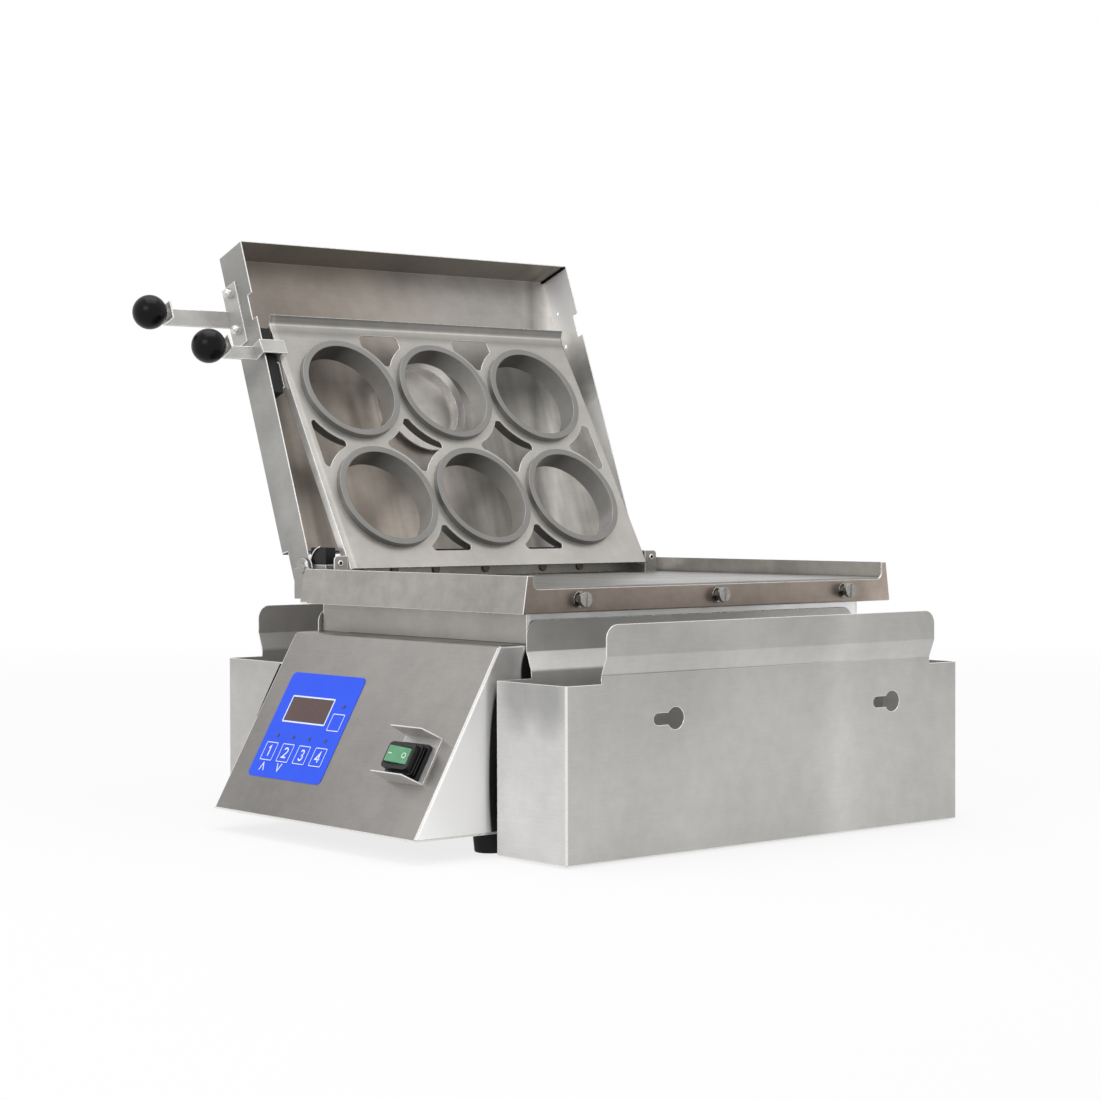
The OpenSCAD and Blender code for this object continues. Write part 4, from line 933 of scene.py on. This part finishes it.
def panelEdgeShadow(look):
    # four-cornered section along the edge, its outer side at outer + swell * sin(swellTurn * pi * share)
    share = np.linspace(0, 1, edgeShadow["steps"])
    run = edgeShadow["start"] + edgeShadow["length"] * share
    inner = np.full_like(share, edgeShadow["edge"] - edgeShadow["inner"])
    outer = edgeShadow["edge"] - edgeShadow["outer"] - edgeShadow["swell"] * np.sin(share * math.pi * edgeShadow["swellTurn"])
    low, high = edgeShadow["heights"]
    rows = np.stack([np.stack([side, run, np.full_like(share, height)], 1)
                     for side, height in ((inner, low), (outer, low), (outer, high), (inner, high))], 1)
    strip = (rows.reshape(-1, 3), capped(len(share), 4))
    newPiece("panel_edge_shadow", [onPanel], [strip], "base", look["paintedShade"])


# Painted shadow: a dark box in the cover's open back corner, in the cover: two opposite corners
seamShadow = {"low": (352.9, 213.3, -9.0), "high": (355.7, 216.6, 34.4)}


def coverSeamShadow(look):
    # a box between the two corners
    (x0, y0, z0), (x1, y1, z1) = seamShadow["low"], seamShadow["high"]
    rows = [(x, y, z) for z in (z0, z1) for x, y in ((x0, y0), (x1, y0), (x1, y1), (x0, y1))]
    newPiece("cover_seam_shadow", [inCover], [(rows, capped(2, 4))], "cover", look["paintedShade"])


# Hollow rivets in the legs of the ring brackets: profiles as radius and height
rivets = {
    "along": (17.5, 431.5), "across": -257.2, "up": 255.6,
    "ring": [(3.4, 0.0), (3.3, 0.4), (2.8, 0.9), (1.9, 1.0), (1.5, 0.7), (1.5, 0.1)], "ringSides": 32,
    "bore": [(1.5, 0.0), (1.5, 0.95)], "boreSides": 24,
}


def legRivets(look):
    # both profiles turned about the part's first direction
    places = [basis((rivets["across"], y, rivets["up"]), back, top) for y in rivets["along"]]
    ring = turned(rivets["ring"], rivets["ringSides"])
    bore = turned(rivets["bore"], rivets["boreSides"])
    newPiece("leg_rivets", places, [ring], "base", look["bright"], smooth=True)
    # a dark core in each rivet's bore: painted shade
    newPiece("rivet_bore_shade", places, [bore], "base", look["paintedShade"])


# Spring wire bent over the black box: the four points of its curve
wire = {"radius": 0.75, "steps": 24, "curve": [(-298.8, 10.6, 256.0), (-298.2, 10.6, 264.0),
                                               (-291.5, 10.6, 270.0), (-282.5, 10.6, 271.8)]}


def springWire(look):
    # cubic curve: (1-t)^3 a + 3 (1-t)^2 t b + 3 (1-t) t^2 c + t^3 d
    t = np.linspace(0, 1, wire["steps"])[:, None]
    a, b, c, d = np.array(wire["curve"])
    path = (1 - t) ** 3 * a + 3 * (1 - t) ** 2 * t * b + 3 * (1 - t) * t ** 2 * c + t ** 3 * d
    newPiece("spring_wire_look", [inPart], [swept(path, back, wire["radius"])], "base",
             look["bright"], ("spring_wire",), True)


# Leaf of the catch, hooked back at both ends, in the cover
leaf = {"hooks": (194.5, 219.5), "across": -206.6, "radius": 1.5, "turns": (200, 90, -20), "steps": 7,
        "thick": 0.8, "heights": (-6.3, 20.0)}


def catchLeaf(look):
    # an arc, the middle of the straight and an arc again, carried with the leaf's section
    first, last = leaf["hooks"]
    across, radius, steps = leaf["across"], leaf["radius"], leaf["steps"]
    start, flat, end = leaf["turns"]
    path = np.vstack([arc((first, across), radius, start, flat, steps),
                      [((first + last) / 2, across + radius)], arc((last, across), radius, flat, end, steps)])
    sheet = stroke(path, leaf["thick"], *leaf["heights"])
    newPiece("catch_leaf_look", [inCover], [sheet], "cover", look["bright"], ("catch_leaf",))


# Pins of the power inlet
pins = {"places": [(-244.0, 65.5), (-251.0, 59.0), (-237.0, 59.0)], "root": 440.0, "half": (2.0, 1.0),
        "corner": 0.4, "profile": [(1.0, 0.0), (1.0, 11.0), (0.7, 12.0)]}  # share of the section, height


def inletPins(look):
    # the rounded section times the profile's share, at the profile's height
    wide, high = pins["half"]
    section = rounded(-wide, -high, wide, high, pins["corner"])
    rows = np.vstack([np.hstack([section * share, np.full((len(section), 1), height)])
                      for share, height in pins["profile"]])
    pin = (rows, capped(len(pins["profile"]), len(section)))
    places = [basis((x, pins["root"], z), top, right) for x, z in pins["places"]]
    newPiece("inlet_pins", places, [pin], "base", look["bright"])


# Screws of the rear cover: profile as radius and height
rearScrew = {"along": (-284.0, -134.0, 16.0), "up": (34.0, 204.0), "seat": 452.5, "sides": 28,
             "profile": [(3.4, 0.0), (3.4, 0.5), (2.9, 1.2), (1.9, 1.6), (1.2, 1.65), (1.1, 0.9)]}


def rearScrews(look):
    # the profile, with its drive recess, turned about the part's depth
    screw = turned(rearScrew["profile"], rearScrew["sides"])
    places = [basis((x, rearScrew["seat"], z), top, right)
              for x in rearScrew["along"] for z in rearScrew["up"]]
    newPiece("rear_screws", places, [screw], "base", look["bright"], smooth=True)


# Studio, in metres: the floor's half width, tones and roughness, how far it glows between two distances,
# and the strength of the sky
studio = {"half": 25.0, "tones": ((0.84, 0.84, 0.84), (0.87, 0.87, 0.87)), "rough": 0.9,
          "glow": (0.8, 1.0), "fade": (0.9, 3.5), "skyLight": 0.72, "skySeen": 1.0}
lights = {
    "topSoftbox": {"place": (-0.2, 0.1, 2.4), "aim": (-0.15, 0.2, 0.2), "size": (1.8, 1.8), "power": 22},
    "keySoftbox": {"place": (0.9, -2.1, 1.5), "aim": (-0.1, 0.2, 0.3), "size": (1.4, 1.0), "power": 13},
}


def seenRays(tree):
    # one for rays from the eye, a mirror or a window, else zero: the largest of the three flags
    path = tree.nodes.new("ShaderNodeLightPath")
    seen = path.outputs["Is Camera Ray"]
    for kind in ("Is Glossy Ray", "Is Transmission Ray"):
        larger = tree.nodes.new("ShaderNodeMath")
        larger.operation = "MAXIMUM"
        tree.links.new(seen, larger.inputs[0])
        tree.links.new(path.outputs[kind], larger.inputs[1])
        seen = larger.outputs[0]
    return seen


def makeFloor():
    # a square that takes shadows near the cooker and glows as the sky does farther off
    n = Finish("studioFloor")
    n.set(colour=n.mix(n.noise(2.0), *studio["tones"]), rough=studio["rough"], specular=0.0)
    share = n.span(n.vector("LENGTH", n.place, result="Value"), *studio["glow"], *studio["fade"])
    glow = n.add("ShaderNodeEmission")
    blend = n.add("ShaderNodeMixShader")
    n.join(n.math("MULTIPLY", seenRays(n.tree), share), blend.inputs[0])
    n.join(n.shader.outputs[0], blend.inputs[1])
    n.join(glow.outputs[0], blend.inputs[2])
    n.join(blend.outputs[0], n.tree.nodes["Material Output"].inputs["Surface"])
    half = studio["half"]
    mesh = bpy.data.meshes.new("studioFloor")
    corners = [(-half, -half, 0), (half, -half, 0), (half, half, 0), (-half, half, 0)]
    mesh.from_pydata(corners, [], [(0, 1, 2, 3)])
    mesh.materials.append(n.material)
    floor = bpy.data.objects.new("studioFloor", mesh)
    bpy.context.scene.collection.objects.link(floor)


def makeSky():
    # white, at skySeen to the rays that show it and at skyLight to the rest
    world = bpy.data.worlds.new("studioWorld")
    bpy.context.scene.world = world
    world.use_nodes = True
    tree = world.node_tree
    background = tree.nodes["Background"]
    background.inputs["Color"].default_value = (1, 1, 1, 1)
    strength = tree.nodes.new("ShaderNodeMapRange")
    strength.inputs["To Min"].default_value = studio["skyLight"]
    strength.inputs["To Max"].default_value = studio["skySeen"]
    tree.links.new(seenRays(tree), strength.inputs["Value"])
    tree.links.new(strength.outputs["Result"], background.inputs["Strength"])


def makeLights():
    # rectangular softboxes, each looking from its place to its aim
    for name, light in lights.items():
        data = bpy.data.lights.new(name, "AREA")
        data.shape = "RECTANGLE"
        data.size, data.size_y = light["size"]
        data.energy = light["power"]
        item = bpy.data.objects.new(name, data)
        turn = (Vector(light["aim"]) - Vector(light["place"])).to_track_quat("-Z", "Y")
        item.matrix_world = Matrix.Translation(light["place"]) @ turn.to_matrix().to_4x4()
        bpy.context.scene.collection.objects.link(item)


makeCamera()
look = makeMaterials()
dressNodes(look)
for makePiece in (overlayPrint, windowDigits, rockerMarks, domedNuts, ballKnobs, knobScrews, panelEdgeShadow,
                  coverSeamShadow, legRivets, springWire, catchLeaf, inletPins, rearScrews):
    makePiece(look)
print("small pieces done")
makeFloor()
makeSky()
makeLights()
bpy.context.view_layer.update()
print("studio done")
